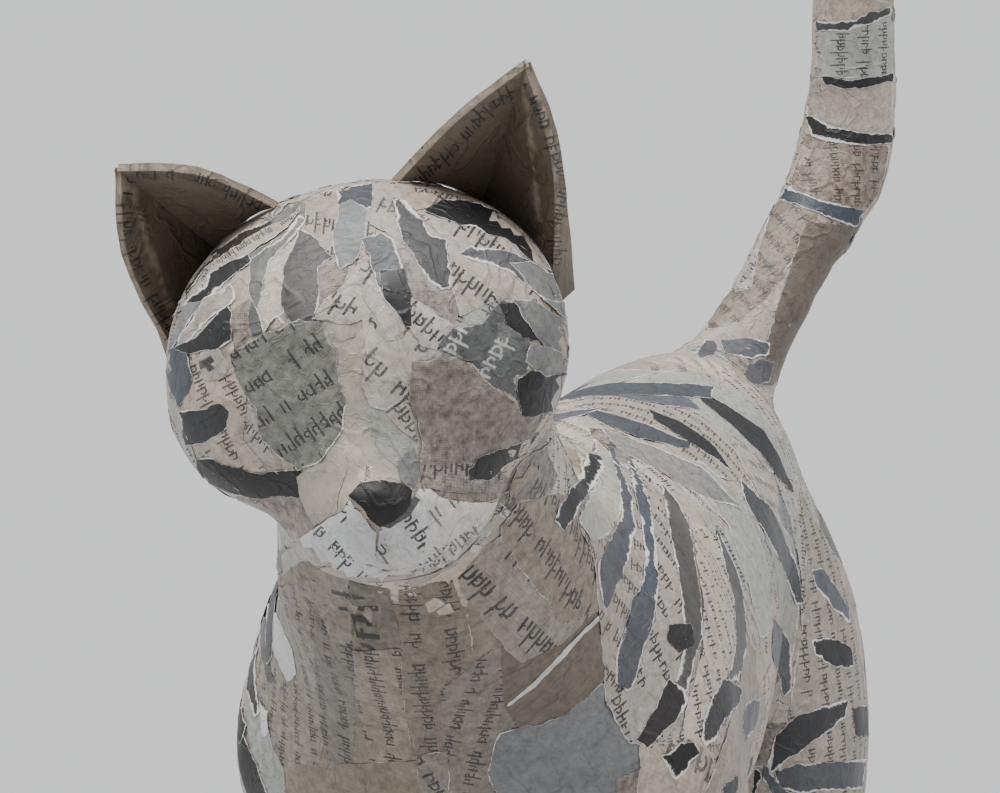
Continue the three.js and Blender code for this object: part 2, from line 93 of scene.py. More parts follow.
# Each scrap: tone, direction of its print in degrees clockwise from picture right, size of its
# print against small book type (0 for none, below 0 for pale print), width of its white torn edge
# in mm, and its outline in picture points.
FACE = (
    ("newsprint", 10, 1.1, 0.5, "296,203 345,188 374,186 376,245 352,268 325,262 298,238"),
    ("pinkish", 0, 0, 0.3, "318,262 350,262 342,285 322,300 314,320 303,312 310,285"),
    ("newsprint", 0, 0, 0.3, "244,262 268,255 266,300 250,312 222,322 200,335 184,348 180,335 "
     "196,316 206,300 228,285"),
    ("pinkish", 0, 0, 0.2, "222,318 252,298 256,335 234,352 214,342"),
    ("newsprint", 65, 1.0, 0.3, "190,350 233,343 238,375 248,395 244,440 268,470 240,472 213,462 "
     "200,447 186,440 182,410 188,392 192,372"),
    ("newsprint", 62, 4.0, 0.1, "203,352 222,348 232,366 226,378 206,382 200,366"),
    ("grey", 0, 0, 0.2, "252,300 260,314 266,334 252,337 249,318"),
    ("light_grey", 0, 0, 0.6, "281,204 308,203 307,222 293,234 275,241 260,256 250,262 247,248 "
     "262,228"),
    ("newsprint", 0, 0, 0.8, "262,262 290,240 300,250 289,275 285,310 264,334 257,300"),
    ("light_grey", 0, 0, 0.7, "250,262 276,242 293,226 301,216 307,222 296,235 271,262 263,290 "
     "259,312 252,300"),
    ("grey", 0, 0, 0.7, "300,228 322,245 333,258 319,268 319,300 313,326 300,338 290,322 281,306 "
     "284,270 292,252"),
    ("newsprint", 130, 0.9, 0.3, "291,203 252,214 226,234 196,262 180,290 166,302 162,312 170,322 "
     "184,300 196,276 210,262 232,244 264,226"),
    ("umber", 0, 0, 0.4, "274,219 246,231 221,248 198,264 188,284 171,297 170,311 181,302 191,289 "
     "202,274 216,260 241,246 271,233"),
    ("newsprint", 150, 0.6, 0.6, "301,207 286,221 263,231 241,246 216,261 201,285 184,300 172,312 "
     "169,324 190,302 206,288 216,272 241,262 263,246 287,229 302,214"),
    ("dark", 0, 0, 0.9, "250,254 232,261 212,275 203,290 186,304 182,318 193,318 209,305 218,290 "
     "233,277 252,263"),
    ("light_grey", 0, 0, 0.4, "170,322 184,306 206,300 196,318 184,336 174,350 160,352 160,338"),
    ("newsprint", 0, 0, 0.7, "206,300 232,284 238,300 222,312 205,325 190,345 180,346 184,334 "
     "196,318"),
    ("dark", 0, 0, 0.5, "229,306 234,314 233,340 216,351 192,354 177,350 200,336 214,322"),
    ("slate", 0, 0, 0.4, "163,352 178,348 190,353 196,375 189,395 180,407 173,396 166,375"),
    ("dark", 0, 0, 0.8, "180,411 205,409 222,402 231,411 229,427 222,433 205,441 187,445"),
    ("pinkish", 0, 0, 0.2, "200,474 230,488 255,495 301,496 306,510 319,526 300,544 274,536 "
     "249,519 222,501"),
    ("black", 0, 0, 0.5, "196,458 212,458 235,467 262,473 285,469 303,467 304,480 300,497 280,496 "
     "250,497 230,491 208,482 200,471"),
    ("wedge", 0, 0, 0.3, "318,462 330,450 342,432 345,415 338,380 345,350 362,330 372,345 364,385 "
     "388,410 402,430 414,445 420,470 417,492 400,487 385,484 365,486 350,497 340,512 315,527 "
     "302,500 299,477"),
    ("wedge", 0, 0, 0.2, "330,448 345,440 347,470 340,495 338,512 318,524 303,500 304,478 318,462"),
    ("pale_green", 0, 0, 0.1, "372,393 390,408 408,424 417,448 416,484 398,468 378,452 366,424"),
    ("light_grey", 0, 0, 0.1, "396,462 414,446 418,468 416,488 404,490 398,478"),
    ("newsprint", 56, 1.5, 0.2, "368,372 378,386 396,398 410,405 417,442 399,430 384,412 372,392"),
    ("newsprint", 45, 1.7, 0.5, "363,318 400,333 406,322 416,338 440,348 449,358 417,363 410,402 "
     "396,402 384,410 371,406 361,382 366,350"),
    ("newsprint", 37, 1.6, 0.5, "372,256 386,275 393,300 402,320 402,337 386,341 366,320 345,324 "
     "311,320 325,300 345,285"),
    ("twill", 148, 1.25, 0.6, "231,353 262,336 300,321 320,321 330,344 337,351 339,380 347,400 "
     "344,430 331,450 318,463 300,470 280,457 261,441 256,410 246,395 236,372"),
    ("slate", 0, 0, 0.8, "337,190 372,184 376,206 364,214 352,203 339,211"),
    ("light_grey", 0, 0, 0.6, "339,208 352,201 368,212 366,240 354,265 339,270 333,250 336,225"),
    ("newsprint", 30, 1.2, 0.3, "374,186 402,183 432,185 406,199 411,215 426,236 409,246 396,241 "
     "386,233 370,225"),
    ("pinkish", 0, 0, 0.3, "398,250 410,245 426,275 442,290 457,292 460,312 451,326 432,311 "
     "414,300 406,290"),
    ("newsprint", 45, 1.5, 0.4, "408,297 431,311 452,325 447,336 440,350 420,346 411,330"),
    ("newsprint", 35, 1.5, 0.4, "402,186 440,180 480,183 520,203 556,240 556,262 535,243 505,220 "
     "470,202 440,204 415,212 405,200"),
    ("newsprint", 38, 1.5, 0.5, "426,222 450,218 490,232 520,245 548,272 572,285 570,292 545,300 "
     "520,300 500,299 475,311 459,316 453,292 450,262 446,240"),
    ("grey", 0, 0, 0.9, "392,200 406,202 423,220 429,236 446,240 450,262 450,287 441,291 425,275 "
     "412,256 403,240 396,222"),
    ("grey", 0, 0, 0.8, "360,240 380,234 393,242 401,262 408,290 411,327 404,326 395,312 384,300 "
     "377,285 370,258"),
    ("dark", 0, 0, 0.2, "380,272 404,270 409,294 411,326 404,326 395,312 384,298"),
    ("black", 0, 0, 0.4, "424,212 442,202 460,200 481,207 506,217 526,231 541,247 554,268 546,273 "
     "530,262 515,246 500,239 475,229 450,221 435,217"),
    ("grey", 0, 0, 0.8, "457,253 470,246 492,249 510,252 530,261 549,272 561,290 570,305 560,309 "
     "545,300 525,285 505,271 485,263 470,261"),
    ("light_grey", 0, 0, 0.7, "506,262 530,262 550,274 572,272 574,304 560,308 545,300 524,284"),
    ("eye", -62, -1.5, 0.4, "438,345 455,329 480,324 502,300 520,312 528,336 532,352 526,372 "
     "513,379 522,402 505,393 490,386 470,366 455,359 441,353"),
    ("pinkish", 0, 0, 0.4, "411,362 449,357 471,363 491,385 513,402 522,415 546,411 562,405 "
     "558,426 532,440 502,452 472,464 477,476 508,481 510,496 490,502 460,502 440,500 423,491 "
     "418,470 421,440 416,420 408,400"),
    ("pinkish", 6, 1.35, 0.1, "421,466 470,462 500,470 510,480 508,492 460,494 424,488"),
    ("black", 0, 0, 0.3, "498,305 513,303 527,318 538,340 522,337 506,325"),
    ("light_grey", 0, 0, 0.5, "510,300 532,300 548,312 562,320 573,332 570,347 567,366 550,353 "
     "536,336 522,318"),
    ("light_grey", 0, 0, 0.8, "540,300 574,302 574,324 560,316"),
    ("light_grey", 0, 0, 0.5, "530,345 555,350 569,362 564,373 545,377 524,362"),
    ("black", 0, 0, 0.4, "516,377 530,371 545,376 566,371 568,395 560,409 540,414 520,417 516,400"),
    ("dark", 0, 0, 0.6, "466,469 480,456 500,449 530,437 548,429 564,423 561,433 545,446 520,456 "
     "505,466 485,479 468,481"),
    ("chest", 0, 0, 0.2, "520,460 545,446 562,430 556,450 540,470 520,486 508,500 508,484"),
    ("white", 48, 1.25, 0.2, "296,541 318,526 340,513 350,500 362,515 372,532 378,560 386,606 "
     "356,602 322,584 300,560"),
    ("white", -35, 1.35, 0.2, "378,530 392,522 412,500 416,490 427,490 441,499 470,503 498,501 "
     "509,511 501,530 488,552 474,580 446,602 404,610 384,606 376,560"),
    ("white", 58, 1.5, 0.1, "380,520 404,508 418,496 428,520 424,552 404,560 386,545"),
    ("white", 0, 0, 0.1, "348,505 362,512 376,532 374,556 360,552 350,532"),
    ("grey", 0, 0, 0.1, "378,523 400,510 411,497 418,500 407,516 390,527"),
    ("black", 0, 0, 0.12, "349,496 360,485 380,481 400,484 409,492 406,506 393,519 380,525 371,517 "
     "361,505"),
)
CHEST = (
    ("chest", 0, 0, 0.2, "262,596 300,560 380,580 452,572 500,520 560,520 600,606 600,700 500,770 "
     "440,800 285,800 252,700"),
    ("chest", -95, 1.0, 0.2, "262,590 285,545 322,555 332,640 337,700 320,760 300,800 258,800 "
     "246,760 248,650"),
    ("chest", 85, 1.1, 0.2, "316,600 352,600 358,700 352,760 332,772 316,700"),
    ("chest", 82, 3.2, 0.1, "318,560 350,575 353,640 335,642 316,600"),
    ("chest", -97, 4.0, 0.1, "350,575 387,580 402,640 397,662 365,657 354,620"),
    ("chest", -97, 1.15, 0.2, "354,650 402,648 412,760 372,767 357,700"),
    ("chest", 85, 1.3, 0.2, "398,580 452,575 472,640 482,700 472,762 420,772 404,700"),
    ("chest", 0, 0, 0.2, "290,765 420,760 440,800 285,800"),
    ("chest", 60, 1.5, 0.2, "418,755 470,745 500,800 420,800"),
    ("chest", -75, 1.15, 0.2, "440,690 502,640 522,700 522,760 490,800 450,790"),
    ("brown", 0, 0, 0.2, "500,640 602,608 614,640 602,682 560,717 520,732 503,705"),
    ("chest", 52, 1.9, 0.2, "452,570 500,535 542,515 604,600 562,642 520,662 500,642 470,602"),
    ("chest", 52, 1.7, 0.3, "500,505 562,493 596,555 600,610 560,622 500,540"),
    ("blue_grey", 0, 0, 0.3, "498,732 560,717 602,682 627,730 652,765 622,800 498,800 488,772"),
    ("pinkish", 0, 0, 0.2, "616,778 652,765 700,800 616,800"),
    ("pale_green", 0, 0, 0.2, "246,690 262,700 276,750 287,770 286,800 266,800 252,752"),
    ("black", 0, 0, 0.4, "240,715 250,745 262,772 272,800 234,800 236,745"),
    ("white", 0, 0, 0.2, "270,600 280,618 294,650 298,675 289,683 275,652 267,622"),
    ("white", 0, 0, 0.1, "262,704 270,710 271,735 264,738"),
    ("slate", 0, 0, 0.1, "266,612 270,628 268,650 275,682 270,684 262,652 262,628"),
    ("white", 0, 0, 0.1, "603,610 606,613 582,634 560,660 535,685 507,706 505,703 533,681 556,657 "
     "579,631"),
)
COAT = (
    ("newsprint", 60, 1.2, 0.3, "545,398 567,396 594,438 590,456 572,481 560,500 530,502 508,500 "
     "522,482 546,450 561,420"),
    ("newsprint", 20, 1.2, 0.3, "592,436 612,452 640,500 655,560 660,610 640,690 605,702 596,610 "
     "592,560 575,520 600,470"),
    ("newsprint", 45, 1.3, 0.3, "640,466 668,500 690,545 700,600 700,650 690,700 660,748 628,742 "
     "604,702 622,690 655,620 656,545"),
    ("newsprint", 55, 1.2, 0.3, "690,515 718,540 736,580 742,620 738,665 728,692 712,724 700,745 "
     "680,740 688,700 702,650 702,600"),
    ("newsprint", 30, 3.0, 0.5, "640,745 700,738 722,780 700,800 636,800"),
    ("newsprint", 0, 0, 0.5, "742,640 760,688 770,720 769,760 762,800 700,800 720,750 738,700"),
    ("newsprint", 15, 1.2, 0.4, "575,393 640,398 692,413 735,450 750,484 700,474 650,432 600,412"),
    ("newsprint", 80, 1.2, 0.4, "772,468 800,488 818,540 820,600 800,625 800,570 790,520"),
    ("newsprint", 80, 1.2, 0.4, "798,488 836,560 857,640 870,720 870,800 775,800 790,700 800,640 "
     "805,560"),
    ("pale_green", 0, 0, 0.5, "636,371 700,374 742,394 772,430 797,482 770,472 740,441 700,416 "
     "650,393"),
    ("pale_green", 0, 0, 0.6, "650,448 702,463 742,500 767,560 773,630 760,640 748,585 728,525 "
     "690,487"),
    ("pale_green", 0, 0, 0.6, "764,498 792,540 799,600 792,660 780,640 776,570 762,530"),
    ("pale_green", 0, 0, 0.6, "594,440 612,455 622,482 620,512 606,537 590,542 576,520 592,492 "
     "601,470"),
    ("light_grey", 0, 0, 0.5, "600,428 650,446 702,468 742,510 700,497 660,472 620,452"),
    ("slate", 0, 0, 0.4, "566,386 600,380 645,386 690,400 702,412 640,402 600,394 570,393"),
    ("slate", 0, 0, 0.4, "583,407 640,423 692,444 688,450 640,439 590,418"),
    ("dark", 0, 0, 0.3, "690,386 722,404 762,430 778,456 794,494 780,482 758,451 725,420 700,402"),
    ("dark", 0, 0, 0.4, "648,411 680,423 712,444 734,474 722,465 700,450 670,432 651,419"),
    ("slate", 0, 0, 0.7, "738,478 770,508 794,560 803,604 795,606 784,572 763,532 745,502"),
    ("dark", 0, 0, 0.9, "588,444 601,455 602,470 592,490 577,505 570,520 562,532 552,520 557,508 "
     "562,500 580,475 587,457"),
    ("slate", 0, 0, 1.1, "604,438 614,450 624,480 632,500 635,530 628,560 614,590 603,612 597,590 "
     "595,565 606,545 619,520 620,490 611,462"),
    ("slate", 0, 0, 1.1, "626,452 641,480 650,510 655,545 658,590 652,620 642,650 633,682 625,692 "
     "613,682 614,660 622,630 632,600 641,585 645,560 640,520 632,485"),
    ("slate", 0, 0, 0.2, "640,590 655,600 650,622 640,650 632,680 624,690 615,680 616,658 624,630 "
     "633,602"),
    ("grey", 0, 0, 1.0, "660,483 676,500 687,520 694,560 700,600 701,640 692,662 686,692 672,691 "
     "680,660 683,640 681,600 675,560 667,520"),
    ("dark", 0, 0, 0.2, "668,625 690,624 693,645 679,652 667,641"),
    ("umber", 0, 0, 1.0, "667,678 682,688 688,700 674,722 657,737 646,748 633,741 650,715 661,695"),
    ("grey", 0, 0, 0.8, "714,523 737,570 745,610 745,650 737,682 727,680 735,640 733,600 722,560"),
    ("dark", 0, 0, 0.9, "722,678 742,689 737,706 722,722 716,738 705,748 699,739 705,715 712,695"),
    ("black", 0, 0, 0.8, "660,756 672,750 680,742 692,741 698,753 690,762 686,772 674,780 668,770"),
    ("slate", 0, 0, 0.7, "745,703 760,698 757,722 745,742 741,725"),
    ("dark", 0, 0, 0.4, "720,787 737,774 737,792 725,800"),
    ("dark", 0, 0, 0.4, "738,793 757,767 763,776 752,800"),
    ("slate", 0, 0, 0.4, "773,618 789,640 792,690 783,697 771,650"),
    ("slate", 0, 0, 0.5, "810,569 823,568 848,608 849,624 831,607 814,587"),
    ("dark", 0, 0, 0.5, "811,641 830,637 851,647 852,667 835,667 814,656"),
    ("dark", 0, 0, 0.5, "767,762 775,735 800,714 830,704 847,699 845,716 820,737 790,757 770,773"),
    ("dark", 0, 0, 0.3, "852,709 866,704 868,736 854,737"),
    ("slate", 0, 0, 0.5, "774,770 800,764 872,759 872,787 800,792 777,787"),
)
TAIL = (
    ("pinkish", 90, 1.1, 0.4, "798,132 845,142 890,146 880,190 862,216 800,196 772,186 786,160"),
    ("chest", 60, 1.0, 0.4, "700,300 752,288 762,240 776,198 820,214 806,240 772,292 742,322 "
     "708,330"),
    # This brown scrap down the tail's right side is partly dark paper and partly painted shade.
    ("brown", 0, 0, 0.3, "806,222 860,226 838,284 814,322 792,350 774,386 756,384 764,350 776,308 "
     "790,268"),
    ("pale_green", 90, 1.1, 0.4, "800,24 892,18 892,80 808,76"),
    ("newsprint", 0, 0, 0.4, "798,78 892,82 890,140 812,126 800,112"),
    ("slate", 0, 0, 0.5, "803,15 820,22 850,21 890,7 891,15 868,25 845,31 820,31 804,26"),
    ("dark", 0, 0, 0.5, "822,76 850,80 880,76 893,72 893,81 870,86 845,89 826,85"),
    ("dark", 0, 0, 0.6, "807,117 818,118 832,127 860,133 892,134 892,143 860,145 830,143 811,136"),
    ("slate", 0, 0, 0.5, "772,182 800,193 830,203 863,210 857,227 830,219 800,206 770,197"),
    ("slate", 0, 0, 0.5, "697,353 704,340 717,341 717,353 707,358 699,358"),
    ("slate", 0, 0, 0.5, "720,340 745,337 770,343 768,356 745,359 724,353"),
    ("slate", 0, 0, 0.4, "746,366 762,359 774,362 768,382 755,386 744,378"),
)
# Bands round the limbs: side, nearest and farthest place along the cat, height above the floor,
# reach in degrees, width in mm, tilt in mm and tone.
LIMB_BANDS = tuple(
    (side, near, far, height, reach, width, tilt, tone)
    for side in (-1, 1)
    for near, far, height, reach, width, tilt, tone in (
        (-100, -25, 104, 150, 4.6, 3, "slate"),
        (-100, -25, 86, 170, 4.2, -2, "dark"),
        (-100, -25, 68, 190, 3.8, 2, "slate"),
        (-100, -25, 50, 200, 3.2, -1, "dark"),
        (-100, -25, 34, 180, 2.8, 1, "grey"),
        (70, 150, 58, 150, 4.0, 2, "dark"),
        (75, 150, 40, 180, 3.2, -1, "slate"),
    )
)

# The lower edge of the face in picture points: what lies below it is neck.
CHIN = "150,545 296,541 322,566 360,583 400,587 440,581 470,562 507,513 540,470 572,400 600,300"

# Fine features of the face: middle and half sizes in picture points, turn in degrees, height in mm.
FEATURES = (
    (380, 502, 34, 22, 0, 1.3),
    (352, 470, 12, 42, 12, 0.5),
    (362, 372, 7, 40, 20, 0.5),
    (286, 392, 62, 52, -20, -0.5),
    (488, 350, 48, 40, 20, -0.5),
    (385, 545, 7, 24, 0, -0.5),
    (395, 558, 78, 20, 0, 0.9),
    (395, 612, 110, 16, 0, -1.8),
)
# Stripes that the picture doesn't show, in mm. On the flanks: side, place along the back, where
# they start and end above the floor, how far they lean back, width, and tone.
FLANK_STRIPES = tuple(
    (side, *stripe)
    for side in (-1, 1)
    for stripe in (
        (-28, 112, 80, 6, 5.4, "slate"),
        (-15, 120, 86, 8, 4.6, "dark"),
        (-1, 114, 76, 5, 6.0, "slate"),
        (14, 122, 84, 7, 5.0, "grey"),
        (27, 112, 80, 4, 5.6, "slate"),
        (96, 150, 112, 10, 5.4, "dark"),
        (108, 142, 118, 5, 4.6, "slate"),
    )
)
# The free edge of each ear in picture points: rows of print follow it.
EAR_EDGES = {
    "right_ear": "292,204 225,171 195,159 145,158 118,163 110,200 112,245 126,280 162,346",
    "left_ear": "395,181 440,140 480,92 533,67 553,100 582,180 573,230 572,270",
}
# Round the back of the head: turn from straight back and height of each end in degrees, width
# in mm, and tone.
HEAD_STRIPES = (
    (-58, 62, -66, 4, 4.0, "slate"),
    (-30, 70, -34, 8, 4.6, "dark"),
    (-6, 66, -4, 4, 4.0, "slate"),
    (20, 70, 24, 6, 4.8, "dark"),
    (46, 60, 54, 4, 4.0, "slate"),
)
# Half the floor's side in metres, what the lamps point at, and the soft lamps: name, side they
# shine from, spread in degrees, strength and colour.
FLOOR_HALF = 9
LIT = Vector((0, -0.08, 0.16))
LAMPS = (
    ("key", (-0.30, -0.32, 1.9), 48, 4.6, (1.0, 0.992, 0.98)),
    ("fill", (-1.7, -1.1, 0.7), 70, 0.40, (0.98, 0.99, 1.0)),
    ("side", (1.5, 0.1, 1.5), 60, 1.25, (1.0, 1.0, 1.0)),
)

# Each tone's colour on screen, how far one scrap of it differs from the next, and its fine screen.
TONES = {
    "newsprint": ((0.682, 0.638, 0.598), 0.045, 0.40),
    "chest": ((0.545, 0.500, 0.455), 0.028, 0.55),
    "brown": ((0.410, 0.365, 0.322), 0.012, 0.45),
    "wedge": ((0.620, 0.590, 0.540), 0.015, 0.10),
    "pinkish": ((0.520, 0.476, 0.450), 0.025, 1.10),
    "pale_green": ((0.650, 0.650, 0.616), 0.025, 0.40),
    "twill": ((0.490, 0.490, 0.458), 0.010, 0.80),
    "eye": ((0.310, 0.314, 0.308), 0.010, 0.60),
    "light_grey": ((0.455, 0.459, 0.455), 0.025, 0.45),
    "blue_grey": ((0.445, 0.455, 0.458), 0.015, 0.30),
    "grey": ((0.305, 0.306, 0.312), 0.025, 0.45),
    "slate": ((0.300, 0.307, 0.326), 0.030, 0.40),
    "umber": ((0.165, 0.145, 0.135), 0.015, 0.25),
    "dark": ((0.150, 0.153, 0.163), 0.022, 0.40),
    "black": ((0.026, 0.025, 0.028), 0.006, 0.10),
    "white": ((0.800, 0.796, 0.790), 0.015, 0.05),
    "page": ((0.400, 0.350, 0.295), 0.015, 0.20),
    "rim": ((0.590, 0.535, 0.470), 0.010, 0.05),
}
# Dark papers show a broader white edge where they are torn, and scraps on the face a finer one:
# shares of the width in the tables.
STRIPE_TONES = ("slate", "grey", "dark", "black", "umber", "light_grey")
STRIPE_EDGE = 1.15
FACE_EDGE = 0.62
# How close together the points of a scrap lie, as a share of the usual grain.
FACE_GRAIN = 0.62
TAIL_GRAIN = 0.65
BODY_GRAIN = 0.9
GROUND_GRAIN = 1.45
# Widths in mm: the least white edge, how far round a point the paper below counts, and the longest
# edge of a triangle that still lies flat, also as a multiple of its length on the table.
LEAST_EDGE = 0.14
COVER = 1.45
LONGEST = 3.0
STRETCH = 3.5
# The head's faces reach this many times its half width, and the muzzle lies before and above these
# places in metres.
HEAD_REACH = 1.14
MUZZLE_FRONT = -0.135
MUZZLE_FOOT = 0.160
# Depths in metres: what still counts as the same place on the head and on the body, and how far
# out a scrap of the body starts to look for the skin.
HEAD_DEPTH = 0.045
BODY_DEPTH = 0.06
LIFT = 0.02
# Ground scraps: how many places are tried, half sizes in mm, their share on tail, legs and paws,
# the white edge in mm, and in metres the side of a cell of the search and where limbs begin.
PLACES = 9000
HALF_WIDTHS = (9.5, 14.5)
HALF_HEIGHTS = (7.0, 10.0)
LIMB_SHARE = 0.62
GROUND_EDGE = 0.35
CELL_SIDE = 0.016
TAIL_FRONT, TAIL_FOOT, KNEE = 0.098, 0.145, 0.075
GROUND_TONES = ("newsprint",) * 20 + ("pinkish",) * 2 + ("pale_green",) * 3 + ("light_grey",)
# Rings carried on round the tail, in mm: where along a ring its points lie, its greatest width
# and the tail's radius. They start this high, in metres, and keep this share of the pictured
# height.
RING = (14, 20, 26, 32, 38, 45)
RING_WIDTH = 4.6
TAIL_RADIUS = 9.5
RING_FOOT = 0.15
RING_SHARE = 0.55
# Half widths in mm of the back where the flank stripes start, and what they add on the way down.
BACK_HALF = 8
FLANK_HALF = 40
# Printed rows, in mm on the sheet: width of one stroke's cell and height of the line that the
# strokes stand on.
CELL = 1.28
BASE_LINE = 1.35
# Colours in linear light: print, pale print, torn edges, loose fibres, floor and the light all
# round.
INK = (0.022, 0.021, 0.022, 1.0)
PALE_INK = (0.50, 0.50, 0.48, 1.0)
TORN_WHITE = (0.76, 0.75, 0.73, 1.0)
FIBRE_WHITE = (0.60, 0.59, 0.57, 1)
FLOOR_TONE = (0.452, 0.459, 0.471, 1)
AIR_TONE = (0.98, 0.99, 1.0, 1)
# The ears: least and greatest thickness of the sheet in metres, how far in from the free edge its
# print and its pale rim reach in mm, and in metres how far up the shade of the foot reaches and
# how uneven the sheet is.
SHEET = (0.0003, 0.0024)
EAR_PRINT = 4.9
EAR_RIM = 5.5
EAR_FOOT = 0.010
EAR_RELIEF = 0.00022
# Where the tail spreads into the back, how far the paper swells there and how far round, in
# metres.
TAIL_ROOT = (-0.0050, 0.1070, 0.1685)
TAIL_FLARE = 0.0028
TAIL_FLARE_REACH = 0.0125
# The tail's middle line in mm, from inside the rump to the tip, as the solids have it.
TAIL_PATH = tuple(
    Vector((x * MM, y * MM, z * MM))
    for x, y, z in (
        (-6.9, 82.9, 129.0),
        (0.0, 107.6, 153.3),
        (11.5, 130.1, 183.7),
        (22.1, 150.8, 211.0),
        (23.0, 153.5, 238.4),
        (20.7, 150.4, 271.8),
        (14.3, 139.1, 305.3),
    )
)


def to_linear(value):
    """A screen colour value from 0 to 1 as linear light."""
    return value / 12.92 if value <= 0.04045 else ((value + 0.055) / 1.055) ** 2.4


def on_screen(colour):
    """A colour as it looks on a screen, as linear light."""
    return tuple(to_linear(value) for value in colour)


def points_of(text):
    """Picture points written as x,y pairs."""
    return [tuple(float(value) for value in pair.split(",")) for pair in text.split()]


def inside(points, outline):
    """Which points lie inside a closed outline."""
    found = np.zeros(len(points), bool)
    ends = np.roll(outline, -1, axis=0)
    for (x0, y0), (x1, y1) in zip(outline, ends):
        if y0 == y1:
            continue
        crosses = (points[:, 1] < y0) != (points[:, 1] < y1)
        at = x0 + (points[:, 1] - y0) * (x1 - x0) / (y1 - y0)
        found ^= crosses & (points[:, 0] < at)
    return found


def area_of(outline):
    """An outline's area, below 0 if it runs clockwise."""
    x, y = outline[:, 0], outline[:, 1]
    return 0.5 * float(np.sum(x * np.roll(y, -1) - np.roll(x, -1) * y))


def walked(outline, step):
    """A closed outline with a point at each step, and the way out at each."""
    ends = np.roll(outline, -1, axis=0)
    lengths = np.hypot(*(ends - outline).T)
    reach = np.concatenate(([0.0], np.cumsum(lengths)))
    count = max(8, int(reach[-1] / step))
    marks = np.arange(count) * reach[-1] / count
    closed = np.vstack((outline, outline[:1]))
    points = np.column_stack([np.interp(marks, reach, closed[:, axis]) for axis in (0, 1)])
    along = np.roll(points, -1, axis=0) - np.roll(points, 1, axis=0)
    along /= np.maximum(np.hypot(*along.T), 1e-9)[:, None]
    return points, np.column_stack((along[:, 1], -along[:, 0]))


def picture_of(points):
    """Where points in space fall in the picture."""
    away = points - np.array(EYE)
    depth = away @ np.array(AHEAD)
    u = PICTURE[0] / 2 + FOCAL * (away @ np.array(RIGHT)) / depth
    return u, PICTURE[1] / 2 - FOCAL * (away @ np.array(UP)) / depth


class Ground:
    """The cat's smooth skin, and how high the paper stands over each of its points."""

    def __init__(self, skin):
        mesh = skin.data
        count = len(mesh.vertices)
        flat = np.empty(count * 3)
        mesh.vertices.foreach_get("co", flat)
        self.points = flat.reshape(-1, 3)
        self.corners = [tuple(face.vertices) for face in mesh.polygons]
        self.paper = np.zeros(count)
        vertices = [Vector(point) for point in self.points]
        self.tree = BVHTree.FromPolygons(vertices, self.corners)
        middles = np.array([self.points[list(face)].mean(0) for face in self.corners])
        self.middles = middles
        self.areas = np.array([face.area for face in mesh.polygons])
        self.outward = np.array([tuple(face.normal) for face in mesh.polygons])
        apart = np.linalg.norm(middles - np.array(HEAD_MIDDLE), axis=1)
        muzzle = (middles[:, 1] < MUZZLE_FRONT) & (middles[:, 2] > MUZZLE_FOOT)
        u, v = picture_of(middles)
        line = np.array(points_of(CHIN)).T
        below = (v > np.interp(u, *line)) & (self.outward @ np.array(AHEAD) < 0.3)
        self.rest = np.nonzero(((apart > HEAD_REACH * HEAD_HALF) & ~muzzle) | below)[0]
        self.head = np.setdiff1d(np.arange(len(middles)), self.rest)
        self.headless, self.head_only = (
            BVHTree.FromPolygons(vertices, [self.corners[face] for face in faces])
            for faces in (self.rest, self.head)
        )
        self.spots = KDTree(count)
        for index, point in enumerate(vertices):
            self.spots.insert(point, index)
        self.spots.balance()

    def nearest(self, point):
        """The place on the skin nearest to a point, with its normal and its face."""
        place, normal, face, _ = self.tree.find_nearest(point)
        return place, normal, face

    def seen(self, u, v, head, depth=None):
        """Where a picture point falls, on the head or on the rest; depth brings back a miss."""
        across = RIGHT * ((u - PICTURE[0] / 2) / FOCAL)
        down = UP * ((v - PICTURE[1] / 2) / FOCAL)
        ray = (AHEAD + across - down).normalized()
        tree, faces = (self.head_only, self.head) if head else (self.headless, self.rest)
        place, normal, face, far = tree.ray_cast(EYE, ray)
        if place is not None and (depth is None or abs(far - depth) < HEAD_DEPTH):
            return place, normal, int(faces[face]), far
        if depth is None:
            return None
        place, normal, face, _ = tree.find_nearest(EYE + ray * depth)
        return place, normal, int(faces[face]), depth


class Stack:
    """The scraps of one kind of paper, gathered into one mesh."""

    def __init__(self):
        self.points, self.faces, self.colours = [], [], []
        self.torn, self.ink, self.screen, self.sheet = [], [], [], []

    def add(self, points, faces, colour, torn, ink, screen, sheet):
        """Adds one scrap."""
        start = len(self.points)
        self.points.extend(points)
        self.faces.extend(tuple(start + index for index in face) for face in faces)
        self.colours.extend([(*colour, 1.0)] * len(points))
        self.torn.extend(torn)
        self.ink.extend([ink] * len(points))
        self.screen.extend([screen] * len(points))
        self.sheet.extend(sheet)

    def build(self, name, material):
        """The stack as one piece."""
        mesh = bpy.data.meshes.new(name)
        mesh.from_pydata(self.points, [], self.faces)
        mesh.polygons.foreach_set("use_smooth", [True] * len(mesh.polygons))
        dress(mesh, self.colours, self.torn, self.ink, self.screen, self.sheet)
        mesh.materials.append(material)
        return keep(bpy.data.objects.new(name, mesh))


def dress(mesh, colours, torn, ink, screen, sheet):
    """Writes what the paper's material reads at each point."""
    kinds = (
        ("paper", "FLOAT_COLOR", "color", colours),
        ("torn", "FLOAT", "value", torn),
        ("ink", "FLOAT", "value", ink),
        ("screen", "FLOAT", "value", screen),
        ("sheet", "FLOAT_VECTOR", "vector", sheet),
    )
    for name, kind, field, values in kinds:
        attribute = mesh.attributes.new(name, kind, "POINT")
        attribute.data.foreach_set(field, np.asarray(values, np.float32).ravel())


def keep(obj):
    """Links a piece and lets it ride on the cat."""
    bpy.context.scene.collection.objects.link(obj)
    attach(obj, "root")
    return obj


